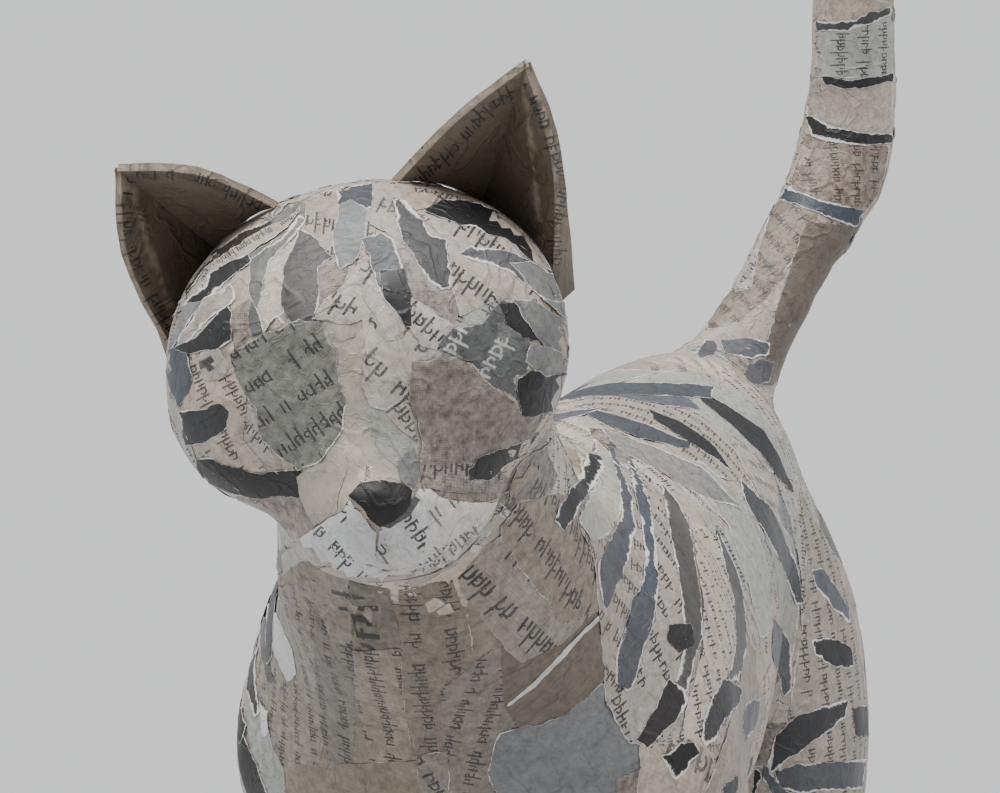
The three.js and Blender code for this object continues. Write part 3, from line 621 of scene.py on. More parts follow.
class Paster:
    """Tears scraps and pastes them on the skin, one over another."""

    def __init__(self, ground, settings):
        self.ground = ground
        self.thick = settings.thickness * 1000
        self.edge_step = settings.edge_step * 1000
        self.step = settings.step * 1000
        self.random = random.Random(settings.seed)
        self.stacks = {}

    def tear(self, outline, margin, finer):
        """A torn scrap flat on the table: its points, its triangles and how torn each point is."""
        if area_of(outline) < 0:
            outline = outline[::-1]
        ragged = min(0.45, 0.15 + margin)
        seed = self.random.uniform(0, 900)
        points, out = walked(outline, self.edge_step * max(finer, 0.8))
        shift = np.array(
            [
                1.0 * noise.noise(Vector((x * 0.33, y * 0.33, seed)))
                + 0.42 * noise.noise(Vector((x * 1.1, y * 1.1, seed + 7)))
                + 0.30 * noise.noise(Vector((x * 2.9, y * 2.9, seed + 3)))
                for x, y in points
            ]
        )
        points = points + out * (shift * ragged)[:, None]
        widths = np.array(
            [
                margin
                * (
                    0.7
                    + 2.2 * noise.noise(Vector((x * 0.10, y * 0.10, seed + 31)))
                    + 0.9 * noise.noise(Vector((x * 0.9, y * 0.9, seed + 47)))
                )
                for x, y in points
            ]
        )
        widths = np.clip(widths, LEAST_EDGE, 1.9 * margin + LEAST_EDGE)
        ring = points - out * widths[:, None]
        ring = ring[inside(ring, points)]
        low, high = points.min(0), points.max(0)
        step = self.step * finer
        rows = np.arange(low[1], high[1], step * 0.87)
        grid = [
            (x + (step / 2 if row % 2 else 0), y)
            for row, y in enumerate(rows)
            for x in np.arange(low[0], high[0] + step, step)
        ]
        grid = np.array(grid).reshape(-1, 2)
        if len(grid):
            grid = grid[inside(grid, points)]
        if len(grid):
            reach = np.min(np.hypot(*(grid[:, None] - points[None]).transpose(2, 0, 1)), axis=1)
            grid = grid[reach > max(margin * 1.2, 0.3) + step * 0.3]
        count = len(points)
        everything = [Vector(point) for point in (*points, *ring, *grid)]
        edges = [(index, (index + 1) % count) for index in range(count)]
        found = delaunay_2d_cdt(everything, edges, [], 1, 1e-5)
        flat, faces, origins = found[0], found[2], found[3]
        torn = [0.0 if origin and min(origin) >= count else 1.0 for origin in origins]
        used = sorted({index for face in faces for index in face})
        renumber = {index: place for place, index in enumerate(used)}
        faces = [tuple(renumber[index] for index in face) for face in faces]
        return [flat[index] for index in used], faces, [torn[index] for index in used]

    def lies_flat(self, face, flat, laid):
        """Whether a triangle keeps its size and faces outward once it is on the skin."""
        spots = [laid[index][0] for index in face]
        for first, second in zip(range(3), (1, 2, 0)):
            before = (flat[face[first]] - flat[face[second]]).length
            after = (spots[first] - spots[second]).length / MM
            if after > max(LONGEST, STRETCH * before):
                return False
        across = (spots[1] - spots[0]).cross(spots[2] - spots[0])
        outward = laid[face[0]][1] + laid[face[1]][1] + laid[face[2]][1]
        return across.dot(outward) > 0.25 * across.length * outward.length

    def paste(self, outline, place, tone, kind, angle=0.0, size=0.0, margin=0.3, finer=1.0):
        """Tears a scrap along an outline in millimetres and lays it where place puts each point."""
        if tone in STRIPE_TONES:
            margin *= STRIPE_EDGE
        flat, faces, torn = self.tear(np.asarray(outline, float), margin, finer)
        laid = [place(point.x, point.y) for point in flat]
        if not faces or any(spot is None for spot in laid):
            return
        ground = self.ground
        points, covered = [], {}
        for (spot, normal, face), edge in zip(laid, torn):
            near = [index for _, index, _ in ground.spots.find_range(spot, COVER * MM)]
            near = near or ground.corners[face]
            rise = max(ground.paper[index] for index in near) + self.thick
            for index in near:
                covered[index] = max(covered.get(index, 0.0), rise)
            if edge:
                rise = max(ground.paper[index] for index in ground.corners[face]) + self.thick / 2
            x, y, z = spot + normal * (rise * MM)
            points.append((x, y, max(z, SOLE)))
        for index, rise in covered.items():
            ground.paper[index] = max(ground.paper[index], rise)
        faces = [face for face in faces if self.lies_flat(face, flat, laid)]
        torn = [edge * min(1.0, 0.30 + 1.1 * margin) for edge in torn]
        shade, spread, screen = TONES[tone]
        change = self.random.gauss(0, spread)
        warm = self.random.gauss(0, spread * 0.25)
        colour = on_screen((shade[0] + change + warm, shade[1] + change, shade[2] + change - warm))
        turn = math.radians(angle)
        scale = abs(size) or 1.0
        across, down = (math.cos(turn), -math.sin(turn)), (math.sin(turn), math.cos(turn))
        shift = [self.random.uniform(0, most) for most in (90, 90, 400)]
        sheet = [
            (
                (x * across[0] + y * across[1]) / scale + shift[0],
                (x * down[0] + y * down[1]) / scale + shift[1],
                shift[2],
            )
            for x, y in flat
        ]
        ink = 0.0 if size == 0 else math.copysign(1.0, size)
        self.stacks.setdefault(kind, Stack()).add(points, faces, colour, torn, ink, screen, sheet)

    def on_face(self, tone, angle, size, margin, text, kind):
        """Pastes a scrap of the face just where the picture shows it."""
        outline = np.array(points_of(text)) * (1, -1) / PIXELS_PER_MM
        ground = self.ground
        found = [ground.seen(x * PIXELS_PER_MM, -y * PIXELS_PER_MM, True) for x, y in outline]
        depths = sorted(spot[3] for spot in found if spot)
        depth = depths[len(depths) // 2]

        def place(x, y):
            return ground.seen(x * PIXELS_PER_MM, -y * PIXELS_PER_MM, True, depth)[:3]

        self.paste(outline, place, tone, kind, angle, size, FACE_EDGE * margin, FACE_GRAIN)

    def on_body(self, tone, angle, size, margin, text, kind, mirrored=False, finer=BODY_GRAIN):
        """Pastes a scrap of the body, read through the picture and then cut at true size.

        A mirrored one goes to the same place on the far side.
        """
        corners = np.array(points_of(text))
        marks, _ = walked(corners, 5.0)
        found = [self.ground.seen(u, v, False) for u, v in marks]
        found = [spot for spot in found if spot]
        if len(found) < 5:
            return
        middle_depth = sorted(spot[3] for spot in found)[len(found) // 2]
        found = [spot for spot in found if abs(spot[3] - middle_depth) < BODY_DEPTH]
        if mirrored:
            across = Vector((-1, 1, 1))
            found = [self.ground.nearest(spot[0] * across) for spot in found]
        middle = sum((spot[0] for spot in found), Vector()) / len(found)
        normal = sum((spot[1] for spot in found), Vector()).normalized()
        reading = -RIGHT if mirrored else RIGHT
        side = (reading - normal * reading.dot(normal)).normalized()
        rise = normal.cross(side)
        outline = [
            ((spot[0] - middle).dot(side) / MM, (spot[0] - middle).dot(rise) / MM) for spot in found
        ]
        ground = self.ground

        def place(x, y):
            start = middle + (side * x + rise * y) * MM
            spot, way, face, _ = ground.headless.ray_cast(start + normal * LIFT, -normal, 3 * LIFT)
            if spot is None:
                return ground.nearest(start)
            return spot, way, int(ground.rest[face])

        self.paste(outline, place, tone, kind, angle, size, margin, finer)

    def on_skin(self, face, outline, tone, kind, angle, size, margin, finer):
        """Pastes a scrap round the middle of one face of the skin."""
        ground = self.ground
        middle = Vector(ground.middles[face])
        normal = Vector(ground.outward[face])
        side = Vector((0.3, 0.2, 1)).cross(normal)
        if side.length < 1e-3:
            side = Vector((1, 0, 0)).cross(normal)
        side.normalize()
        rise = normal.cross(side)

        def place(x, y):
            return ground.nearest(middle + (side * x + rise * y) * MM)

        self.paste(outline, place, tone, kind, angle, size, margin, finer)


class Wires:
    """Short ways to add nodes to a tree."""

    def __init__(self, tree):
        self.tree = tree

    def node(self, kind, **settings):
        made = self.tree.nodes.new(kind)
        for name, value in settings.items():
            setattr(made, name, value)
        return made

    def join(self, socket, value):
        """Links a socket to another, or sets its value."""
        if isinstance(value, bpy.types.NodeSocket):
            self.tree.links.new(value, socket)
        elif value is not None:
            socket.default_value = value

    def math(self, operation, *values):
        made = self.node("ShaderNodeMath", operation=operation)
        for socket, value in zip(made.inputs, values):
            self.join(socket, value)
        return made.outputs[0]

    def add(self, *values):
        return self.math("ADD", *values)

    def less(self, *values):
        return self.math("SUBTRACT", *values)

    def times(self, *values):
        return self.math("MULTIPLY", *values)

    def vector(self, operation, *values):
        made = self.node("ShaderNodeVectorMath", operation=operation)
        for socket, value in zip(made.inputs, values):
            self.join(socket, value)
        return made.outputs[0]

    def split(self, vector):
        made = self.node("ShaderNodeSeparateXYZ")
        self.join(made.inputs[0], vector)
        return made.outputs

    def combine(self, *values):
        made = self.node("ShaderNodeCombineXYZ")
        for socket, value in zip(made.inputs, values):
            self.join(socket, value)
        return made.outputs[0]

    def noise(self, vector, scale, detail=2.0, rough=0.5):
        made = self.node("ShaderNodeTexNoise")
        self.join(made.inputs["Vector"], vector)
        made.inputs["Scale"].default_value = scale
        made.inputs["Detail"].default_value = detail
        made.inputs["Roughness"].default_value = rough
        return made.outputs["Fac"]

    def ramp(self, value, low, high, to_low=0.0, to_high=1.0):
        made = self.node("ShaderNodeMapRange", interpolation_type="SMOOTHSTEP")
        for socket, given in zip(made.inputs, (value, low, high, to_low, to_high)):
            self.join(socket, given)
        return made.outputs[0]

    def mix(self, factor, first, second, blend="MIX"):
        made = self.node("ShaderNodeMix", data_type="RGBA", blend_type=blend)
        self.join(made.inputs[0], factor)
        self.join(made.inputs[6], first)
        self.join(made.inputs[7], second)
        return made.outputs[2]

    def attribute(self, name, output="Fac"):
        return self.node("ShaderNodeAttribute", attribute_name=name).outputs[output]


def shader_group(name, inputs, outputs):
    """An empty node group with its sockets: the tree, its wires and its inner ends."""
    tree = bpy.data.node_groups.new(name, "ShaderNodeTree")
    for label, kind, value in inputs:
        socket = tree.interface.new_socket(label, in_out="INPUT", socket_type=kind)
        if value is not None:
            socket.default_value = value
    for label, kind in outputs:
        tree.interface.new_socket(label, in_out="OUTPUT", socket_type=kind)
    wires = Wires(tree)
    given = wires.node("NodeGroupInput").outputs
    taken = wires.node("NodeGroupOutput").inputs
    return tree, wires, given, taken


def print_rows():
    """Rows of broken hooks and ticks that stand for small print and spell nothing."""
    tree, w, given, taken = shader_group(
        "Printed rows",
        (
            ("Sheet", "NodeSocketVector", None),
            ("Row pitch", "NodeSocketFloat", 4.5),
            ("Height", "NodeSocketFloat", 1.55),
        ),
        (("Ink", "NodeSocketFloat"),),
    )
    sheet, pitch, height = given["Sheet"], given["Row pitch"], given["Height"]
    x, y, which = w.split(sheet)[:3]
    row = w.math("FLOOR", w.math("DIVIDE", y, pitch))
    v = w.less(w.less(w.times(w.add(row, 1.0), pitch), y), BASE_LINE)
    shift = w.node("ShaderNodeTexWhiteNoise", noise_dimensions="2D")
    w.join(shift.inputs["Vector"], w.combine(row, which, 0.0))
    moved = w.add(x, w.times(shift.outputs["Value"], 57.0))
    cell = w.math("FLOOR", w.math("DIVIDE", moved, CELL))
    u = w.less(moved, w.times(cell, CELL))
    chance = w.node("ShaderNodeTexWhiteNoise", noise_dimensions="3D")
    w.join(chance.inputs["Vector"], w.combine(cell, row, which))
    red, green, blue = w.split(chance.outputs["Color"])[:3]
    present = w.math("GREATER_THAN", chance.outputs["Value"], 0.17)

    def bar(offset, half):
        return w.ramp(w.math("ABSOLUTE", offset), half + 0.06, half - 0.02)

    def between(low, high):
        return w.times(w.math("GREATER_THAN", v, low), w.math("LESS_THAN", v, high))

    tall = w.add(height, w.times(w.math("GREATER_THAN", red, 0.70), 0.85))
    low = w.times(w.math("LESS_THAN", green, 0.16), -0.65)
    lean = w.times(v, 0.05)
    stem = w.times(bar(w.less(u, w.add(lean, 0.24)), 0.125), between(low, tall))
    short = w.times(height, w.add(0.45, w.times(green, 0.5)))
    second = w.times(bar(w.less(u, w.add(lean, 0.96)), 0.115), between(0.0, short))
    second = w.times(second, w.math("GREATER_THAN", blue, 0.52))
    middle = w.times(height, 0.5)
    du = w.less(u, 0.66)
    dv = w.less(v, middle)
    away = w.math("SQRT", w.add(w.times(du, du), w.times(dv, dv)))
    radius = w.add(0.34, w.times(green, 0.2))
    hook = bar(w.less(away, radius), 0.105)
    facing = w.math("COSINE", w.less(w.math("ARCTAN2", dv, du), w.times(red, 6.28)))
    hook = w.times(hook, w.math("LESS_THAN", facing, 0.55))
    hook = w.times(hook, w.math("LESS_THAN", blue, 0.88))
    tick_at = w.times(height, w.math("ROUND", w.times(green, 2.0)))
    level = bar(w.less(v, w.times(tick_at, 0.5)), 0.06)
    tick = w.times(level, bar(w.less(u, 0.34), 0.26))
    tick = w.times(tick, w.math("GREATER_THAN", red, 0.30))
    marks = w.math("MAXIMUM", w.math("MAXIMUM", stem, second), w.math("MAXIMUM", hook, tick))
    w.join(taken["Ink"], w.times(marks, present))
    return tree


def paper_fibre():
    """Mottling, flecks and a fine printer's screen, with the small heights that go with them."""
    tree, w, given, taken = shader_group(
        "Paper fibre",
        (
            ("Sheet", "NodeSocketVector", None),
            ("Place", "NodeSocketVector", None),
            ("Screen", "NodeSocketFloat", 0.2),
        ),
        (("Tone", "NodeSocketFloat"), ("Height", "NodeSocketFloat")),
    )
    sheet, place = given["Sheet"], given["Place"]
    broad = w.noise(place, 130.0, 3.0, 0.6)
    fine = w.noise(place, 2600.0, 2.0, 0.6)
    stretched = w.vector("MULTIPLY", sheet, (0.5, 2.4, 1.0))
    fibre = w.noise(stretched, 1.7, 3.0, 0.65)
    x, y, _ = w.split(sheet)[:3]
    across = w.math("SINE", w.times(w.add(x, y), 8.5))
    along = w.math("SINE", w.times(w.less(x, y), 8.5))
    dots = w.times(w.times(across, along), given["Screen"])
    strength = w.add(0.15, w.times(given["Screen"], 0.85))
    blotch = w.times(w.less(w.noise(place, 620.0, 2.0, 0.7), 0.5), strength)
    tone = w.add(1.0, w.times(w.less(broad, 0.5), 0.42))
    tone = w.add(tone, w.times(w.less(fine, 0.5), 0.30))
    tone = w.add(tone, w.times(w.less(fibre, 0.5), 0.34))
    tone = w.add(tone, w.times(dots, 0.16))
    w.join(taken["Tone"], w.add(tone, w.times(blotch, 2.2)))
    w.join(taken["Height"], w.add(w.times(fibre, 0.5), w.times(fine, 0.5)))
    return tree


def torn_edge():
    """How much of the white inner fibre shows beside a torn edge."""
    tree, w, given, taken = shader_group(
        "Torn edge",
        (("Torn", "NodeSocketFloat", 0.0), ("Place", "NodeSocketVector", None)),
        (("White", "NodeSocketFloat"),),
    )
    rough = w.less(w.noise(given["Place"], 2100.0, 3.0, 0.65), 0.5)
    patchy = w.less(w.noise(given["Place"], 190.0, 1.0, 0.5), 0.5)
    uneven = w.add(w.times(rough, 0.8), w.times(patchy, 1.1))
    level = w.add(given["Torn"], uneven)
    beside = w.ramp(given["Torn"], 0.04, 0.30)
    w.join(taken["White"], w.times(w.ramp(level, 0.36, 0.66), beside))
    return tree


def wrinkles():
    """Height of the soft wrinkles that wet paper keeps when it dries, and how much painted shade
    darkens their creases.
    """
    tree, w, given, taken = shader_group(
        "Paste wrinkles",
        (("Place", "NodeSocketVector", None),),
        (("Height", "NodeSocketFloat"), ("Crease shade", "NodeSocketFloat")),
    )
    place = given["Place"]
    bend = w.node("ShaderNodeTexNoise")
    w.join(bend.inputs["Vector"], place)
    bend.inputs["Scale"].default_value = 45.0
    pushed = w.vector("ADD", place, w.vector("MULTIPLY", bend.outputs["Color"], (0.02, 0.02, 0.02)))
    wave = w.math("ABSOLUTE", w.less(w.noise(pushed, 95.0, 2.0, 0.55), 0.5))
    crease = w.ramp(wave, 0.035, 0.0)
    small = w.math("ABSOLUTE", w.less(w.noise(pushed, 290.0, 2.0, 0.55), 0.5))
    fold = w.ramp(small, 0.03, 0.0)
    lumps = w.noise(place, 70.0, 3.0, 0.55)
    height = w.add(w.times(crease, 0.55), w.times(fold, 0.22))
    w.join(taken["Height"], w.add(height, w.times(lumps, 1.6)))
    # Painted shade along the creases, which the paper's colour reads.
    w.join(taken["Crease shade"], w.math("MAXIMUM", crease, w.times(fold, 0.6)))
    return tree


def use_group(w, tree, **values):
    """Adds a shader group with its inputs joined, and gives its outputs."""
    made = w.node("ShaderNodeGroup", node_tree=tree)
    for name, value in values.items():
        w.join(made.inputs[name.replace("_", " ")], value)
    return made.outputs


def paper_material(groups, name, roughness):
    """Pasted paper, whose tone, print and torn edges come from each scrap's own values."""
    material = bpy.data.materials.new(name)
    material.use_nodes = True
    w = Wires(material.node_tree)
    shader = material.node_tree.nodes["Principled BSDF"]
    place = w.node("ShaderNodeTexCoord").outputs["Object"]
    sheet = w.attribute("sheet", "Vector")
    ink = w.attribute("ink")
    fibre = use_group(w, groups["fibre"], Sheet=sheet, Place=place, Screen=w.attribute("screen"))
    white = use_group(w, groups["torn"], Torn=w.attribute("torn"), Place=place)["White"]
    marks = use_group(w, groups["print"], Sheet=sheet)["Ink"]
    creases = use_group(w, groups["wrinkles"], Place=place)
    # Painted shade: the paper's tone is darkened a little along the creases.
    tone = w.less(fibre["Tone"], w.times(creases["Crease shade"], 0.10))
    base = w.mix(1.0, w.attribute("paper", "Color"), w.combine(tone, tone, tone), "MULTIPLY")
    worn = w.ramp(w.noise(place, 420.0, 2.0, 0.6), 0.30, 0.55, 0.82, 1.0)
    dark = w.times(w.times(marks, worn), w.math("MAXIMUM", ink, 0.0))
    pale_ink = w.math("MAXIMUM", w.times(ink, -1.0), 0.0)
    pale = w.times(w.times(marks, worn), pale_ink)
    colour = w.mix(dark, base, INK)
    colour = w.mix(pale, colour, PALE_INK)
    colour = w.mix(w.times(white, 0.92), colour, TORN_WHITE)
    w.join(shader.inputs["Base Color"], colour)
    sheen = w.ramp(w.noise(place, 60.0, 2.0, 0.5), 0.3, 0.7, roughness - 0.07, roughness + 0.10)
    w.join(shader.inputs["Roughness"], w.add(sheen, w.times(white, 0.15)))
    shader.inputs["Coat Weight"].default_value = 0.06
    shader.inputs["Coat Roughness"].default_value = 0.32
    low = w.node("ShaderNodeBump")
    low.inputs["Strength"].default_value = 0.55
    low.inputs["Distance"].default_value = 0.0006
    w.join(low.inputs["Height"], creases["Height"])
    high = w.node("ShaderNodeBump")
    high.inputs["Strength"].default_value = 0.55
    high.inputs["Distance"].default_value = 0.00008
    w.join(high.inputs["Height"], w.add(fibre["Height"], w.times(white, 0.9)))
    w.join(high.inputs["Normal"], low.outputs[0])
    w.join(shader.inputs["Normal"], high.outputs[0])
    return material


def finer_copy(node, name, levels):
    """A welded, smoothed copy of one of the solids as a new mesh object."""
    mesh = bmesh.new()
    mesh.from_mesh(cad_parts[node].data)
    bmesh.ops.remove_doubles(mesh, verts=mesh.verts, dist=1e-6)
    bmesh.ops.join_triangles(
        mesh, faces=mesh.faces, angle_face_threshold=0.9, angle_shape_threshold=0.9
    )
    data = bpy.data.meshes.new(name)
    mesh.to_mesh(data)
    mesh.free()
    obj = bpy.data.objects.new(name, data)
    bpy.context.scene.collection.objects.link(obj)
    modifier = obj.modifiers.new("Smooth", "SUBSURF")
    modifier.levels = modifier.render_levels = levels
    graph = bpy.context.evaluated_depsgraph_get()
    result = bpy.data.meshes.new_from_object(obj.evaluated_get(graph))
    obj.modifiers.clear()
    obj.data = result
    result.name = name
    result.materials.clear()
    result.polygons.foreach_set("use_smooth", [True] * len(result.polygons))
    return obj


shared = {}


def material(name, roughness):
    """A paper's material, made the first time that it is asked for."""
    if "groups" not in shared:
        shared["groups"] = {
            "print": print_rows(),
            "fibre": paper_fibre(),
            "torn": torn_edge(),
            "wrinkles": wrinkles(),
        }
    return bpy.data.materials.get(name) or paper_material(shared["groups"], name, roughness)


def make_skin(settings):
    """The bare form under the scraps, with its fine features pressed in."""
    skin = finer_copy("cat_body", "cat_skin", 2)
    mesh = skin.data
    count = len(mesh.vertices)
    flat, ways = np.empty(count * 3), np.empty(count * 3)
    mesh.vertices.foreach_get("co", flat)
    mesh.vertex_normals.foreach_get("vector", ways)
    points, ways = flat.reshape(-1, 3), ways.reshape(-1, 3)
    u, v = picture_of(points)
    near = np.linalg.norm(points - np.array(HEAD_MIDDLE), axis=1) < 1.5 * HEAD_HALF
    near &= (ways @ np.array(AHEAD)) < 0.1
    change = np.zeros(count)
    for middle_u, middle_v, half_u, half_v, turn, height in FEATURES:
        cos, sin = math.cos(math.radians(turn)), math.sin(math.radians(turn))
        across = ((u - middle_u) * cos + (v - middle_v) * sin) / half_u
        along = ((v - middle_v) * cos - (u - middle_u) * sin) / half_v
        change += height * np.exp(-1.6 * (across**2 + along**2) ** 1.3)
    apart = np.linalg.norm(points - TAIL_ROOT, axis=1)
    flare = TAIL_FLARE * np.exp(-((apart / TAIL_FLARE_REACH) ** 2))
    points = points + ways * (change * near * settings.relief * MM + flare)[:, None]
    mesh.vertices.foreach_set("co", points.ravel())
    mesh.update()
    tone = on_screen(TONES["newsprint"][0])
    sheet = np.column_stack((points[:, 1] * 900, points[:, 2] * 900, points[:, 0] * 90))
    dress(mesh, [(*tone, 1.0)] * count, [0.0] * count, [0.0] * count, [0.2] * count, sheet)
    mesh.materials.append(material("Pasted paper", 0.50))
    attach(skin, "root")
    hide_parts("cat_body")
    shared["ground"] = Ground(skin)
    shared["paster"] = Paster(shared["ground"], settings)


def rough_outline(rand, wide, high):
    """A scrap's rough outline: a few corners round an oval."""
    count = rand.choice((4, 4, 5, 5, 6, 7))
    start = rand.uniform(0, math.tau)
    tilt = rand.uniform(-0.5, 0.5)
    cos, sin = math.cos(tilt), math.sin(tilt)
    outline = []
    for index in range(count):
        turn = start + math.tau * (index + rand.uniform(-0.28, 0.28)) / count
        reach = rand.uniform(0.9, 1.3)
        x, y = wide * reach * math.cos(turn), high * reach * math.sin(turn)
        outline.append((x * cos - y * sin, x * sin + y * cos))
    return outline


def limb_girth(point):
    """How large a scrap the place takes: small on legs, paws and tail."""
    on_tail = point[1] > TAIL_FRONT and point[2] > TAIL_FOOT
    return LIMB_SHARE if on_tail or point[2] < KNEE else 1.0


def paste_ground_scraps(settings):
    """Lays torn scraps of book and newspaper over the whole skin, each lapping the last."""
    paster, ground = shared["paster"], shared["ground"]
    rand = paster.random
    order = np.random.default_rng(settings.seed).choice(
        len(ground.areas), size=PLACES, p=ground.areas / ground.areas.sum()
    )
    chosen = []
    cells = {}
    steps = list(itertools.product((-1, 0, 1), repeat=3))
    for face in order:
        point = ground.middles[face]
        gap = settings.spacing * limb_girth(point)
        key = tuple(int(math.floor(value / CELL_SIDE)) for value in point)
        around = (
            other
            for step in steps
            for other in cells.get(tuple(a + b for a, b in zip(key, step)), ())
        )
        if any(np.linalg.norm(point - other) < gap for other in around):
            continue
        cells.setdefault(key, []).append(point)
        chosen.append(int(face))
    for face in chosen:
        size = limb_girth(ground.middles[face])
        tone = rand.choice(GROUND_TONES)
        wide, high = rand.uniform(*HALF_WIDTHS) * size, rand.uniform(*HALF_HEIGHTS) * size
        angle = rand.choice((80, 85, 90, 95, -90, 60, 30, 10, 170)) + rand.uniform(-8, 8)
        printed = 0 if rand.random() < 0.25 else rand.choice((0.85, 1.0, 1.0, 1.15, 1.4))
        outline = rough_outline(rand, wide, high)
        paster.on_skin(
            face, outline, tone, "ground_scraps", angle, printed, GROUND_EDGE, GROUND_GRAIN
        )


def tapered(width, count=7):
    """Widths along a stripe that is narrow at both ends."""
    bends = [math.sin(math.pi * (index + 0.5) / count) for index in range(count)]
    return [width * (0.35 + 0.65 * bend) for bend in bends]


def paste_stripe(line, widths, tone, kind):
    """Pastes a long torn strip along points on the skin; widths in mm at each point."""
    paster, ground = shared["paster"], shared["ground"]
    line = [Vector(point) for point in line]
    reach = [0.0]
    for first, second in zip(line, line[1:]):
        reach.append(reach[-1] + (second - first).length / MM)
    upper = [(at, width / 2) for at, width in zip(reach, widths)]
    lower = [(at, -width / 2) for at, width in zip(reach, widths)]

    def place(x, y):
        at = min(max(x, 0.0), reach[-1] - 1e-6)
        index = max(0, min(len(line) - 2, int(np.searchsorted(reach, at)) - 1))
        part = (x - reach[index]) / max(reach[index + 1] - reach[index], 1e-6)
        spot = line[index].lerp(line[index + 1], part)
        along = (line[index + 1] - line[index]).normalized()
        _, normal, _ = ground.nearest(spot)
        return ground.nearest(spot + normal.cross(along) * (y * MM))

    paster.paste(upper + lower[::-1], place, tone, kind, margin=paster.random.uniform(0.4, 1.0))


def paste_placed(table, kind, finer=BODY_GRAIN):
    """Pastes the scraps of one table."""
    for tone, angle, size, margin, text in table:
        shared["paster"].on_body(tone, angle, size, margin, text, kind, finer=finer)


def paste_coat():
    """The chest and near flank as pictured, and the far flank and the limbs in keeping."""
    ground = shared["ground"]
    paste_placed(CHEST, "chest_scraps")
    paste_placed(COAT, "flank_scraps")
    for row in COAT:
        if row[0] in (*STRIPE_TONES, "pale_green"):
            shared["paster"].on_body(*row, "far_stripes", mirrored=True)
    for side, y, top, bottom, lean, width, tone in FLANK_STRIPES:
        line = []
        for part in np.linspace(0, 1, 7):
            out = side * (BACK_HALF + FLANK_HALF * math.sin(part * math.pi / 2))
            height = top + (bottom - top) * part
            line.append(ground.nearest(Vector((out, y + lean * part**1.6, height)) * MM)[0])
        paste_stripe(line, tapered(width), tone, "far_stripes")
    for side, near, far, height, reach, width, tilt, tone in LIMB_BANDS:
        x, y, z = (ground.points / MM).T
        ring = (x * side > 2) & (y > near) & (y < far) & (abs(z - height) < 3)
        if ring.any():
            middle = ground.points[ring].mean(0)
            radius = float(np.hypot(*(ground.points[ring] - middle).T[:2]).mean())
            line = []
            for part in np.linspace(-0.5, 0.5, 9):
                turn = math.radians(reach * part)
                way = Vector((side * math.cos(turn), math.sin(turn), 0))
                start = Vector((middle[0], middle[1], (height + tilt * part * 2) * MM))
                line.append(ground.nearest(start + way * (radius * 1.15))[0])
            paste_stripe(line, tapered(width, 9), tone, "limb_bands")


def paste_tail():
    """The tail's scraps and rings, carried on round the side away from the picture."""
    paste_placed(TAIL, "tail_scraps", TAIL_GRAIN)
    ground, paster = shared["ground"], shared["paster"]
    path = [
        (a + (b - a) * part, (b - a).normalized())
        for a, b in zip(TAIL_PATH, TAIL_PATH[1:])
        for part in np.linspace(0, 1, 12)
    ]
    for tone, _, _, _, text in TAIL:
        points = np.array(points_of(text))
        found = ground.seen(*points.mean(0), False)
        if tone not in ("slate", "dark") or not found or found[0].z < RING_FOOT:
            continue
        high = float(np.ptp(points[:, 1])) / PIXELS_PER_MM * RING_SHARE
        axis_point, along = min(path, key=lambda spot: (found[0] - spot[0]).length)
        side = found[0] - axis_point
        side = (side - along * side.dot(along)).normalized()
        other = along.cross(side)

        def place(x, y):
            turn = x / TAIL_RADIUS
            way = side * math.cos(turn) + other * math.sin(turn)
            start = axis_point + along * (y * MM)
            spot, normal, face, _ = ground.tree.ray_cast(start, way)
            return None if spot is None else (spot, normal, face)

        half = min(high, RING_WIDTH) / 2
        outline = [(x, half * (1 if x < RING[-2] else 0.3)) for x in RING]
        outline += [(x, -half) for x in reversed(RING)]
        paster.paste(outline, place, tone, "tail_scraps", margin=0.5, finer=TAIL_GRAIN)


def paste_face():
    """The face as pictured, and stripes round the back of the head."""
    for row in FACE:
        shared["paster"].on_face(*row, "face_scraps")
    ground = shared["ground"]
    for first_turn, first_rise, last_turn, last_rise, width, tone in HEAD_STRIPES:
        line = []
        for part in np.linspace(0, 1, 7):
            turn = math.radians(first_turn + (last_turn - first_turn) * part)
            rise = math.radians(first_rise + (last_rise - first_rise) * part)
            level = math.cos(rise)
            way = Vector((math.sin(turn) * level, math.cos(turn) * level, math.sin(rise)))
            line.append(ground.nearest(HEAD @ (way * HEAD_HALF * 1.1))[0])
        paste_stripe(line, tapered(width), tone, "head_stripes")


def close_stacks():
    """Makes one mesh of each kind of scrap."""
    for kind, stack in shared["paster"].stacks.items():
        shared[kind] = stack.build(kind, material("Pasted paper", 0.50))
    shared["paster"].stacks.clear()


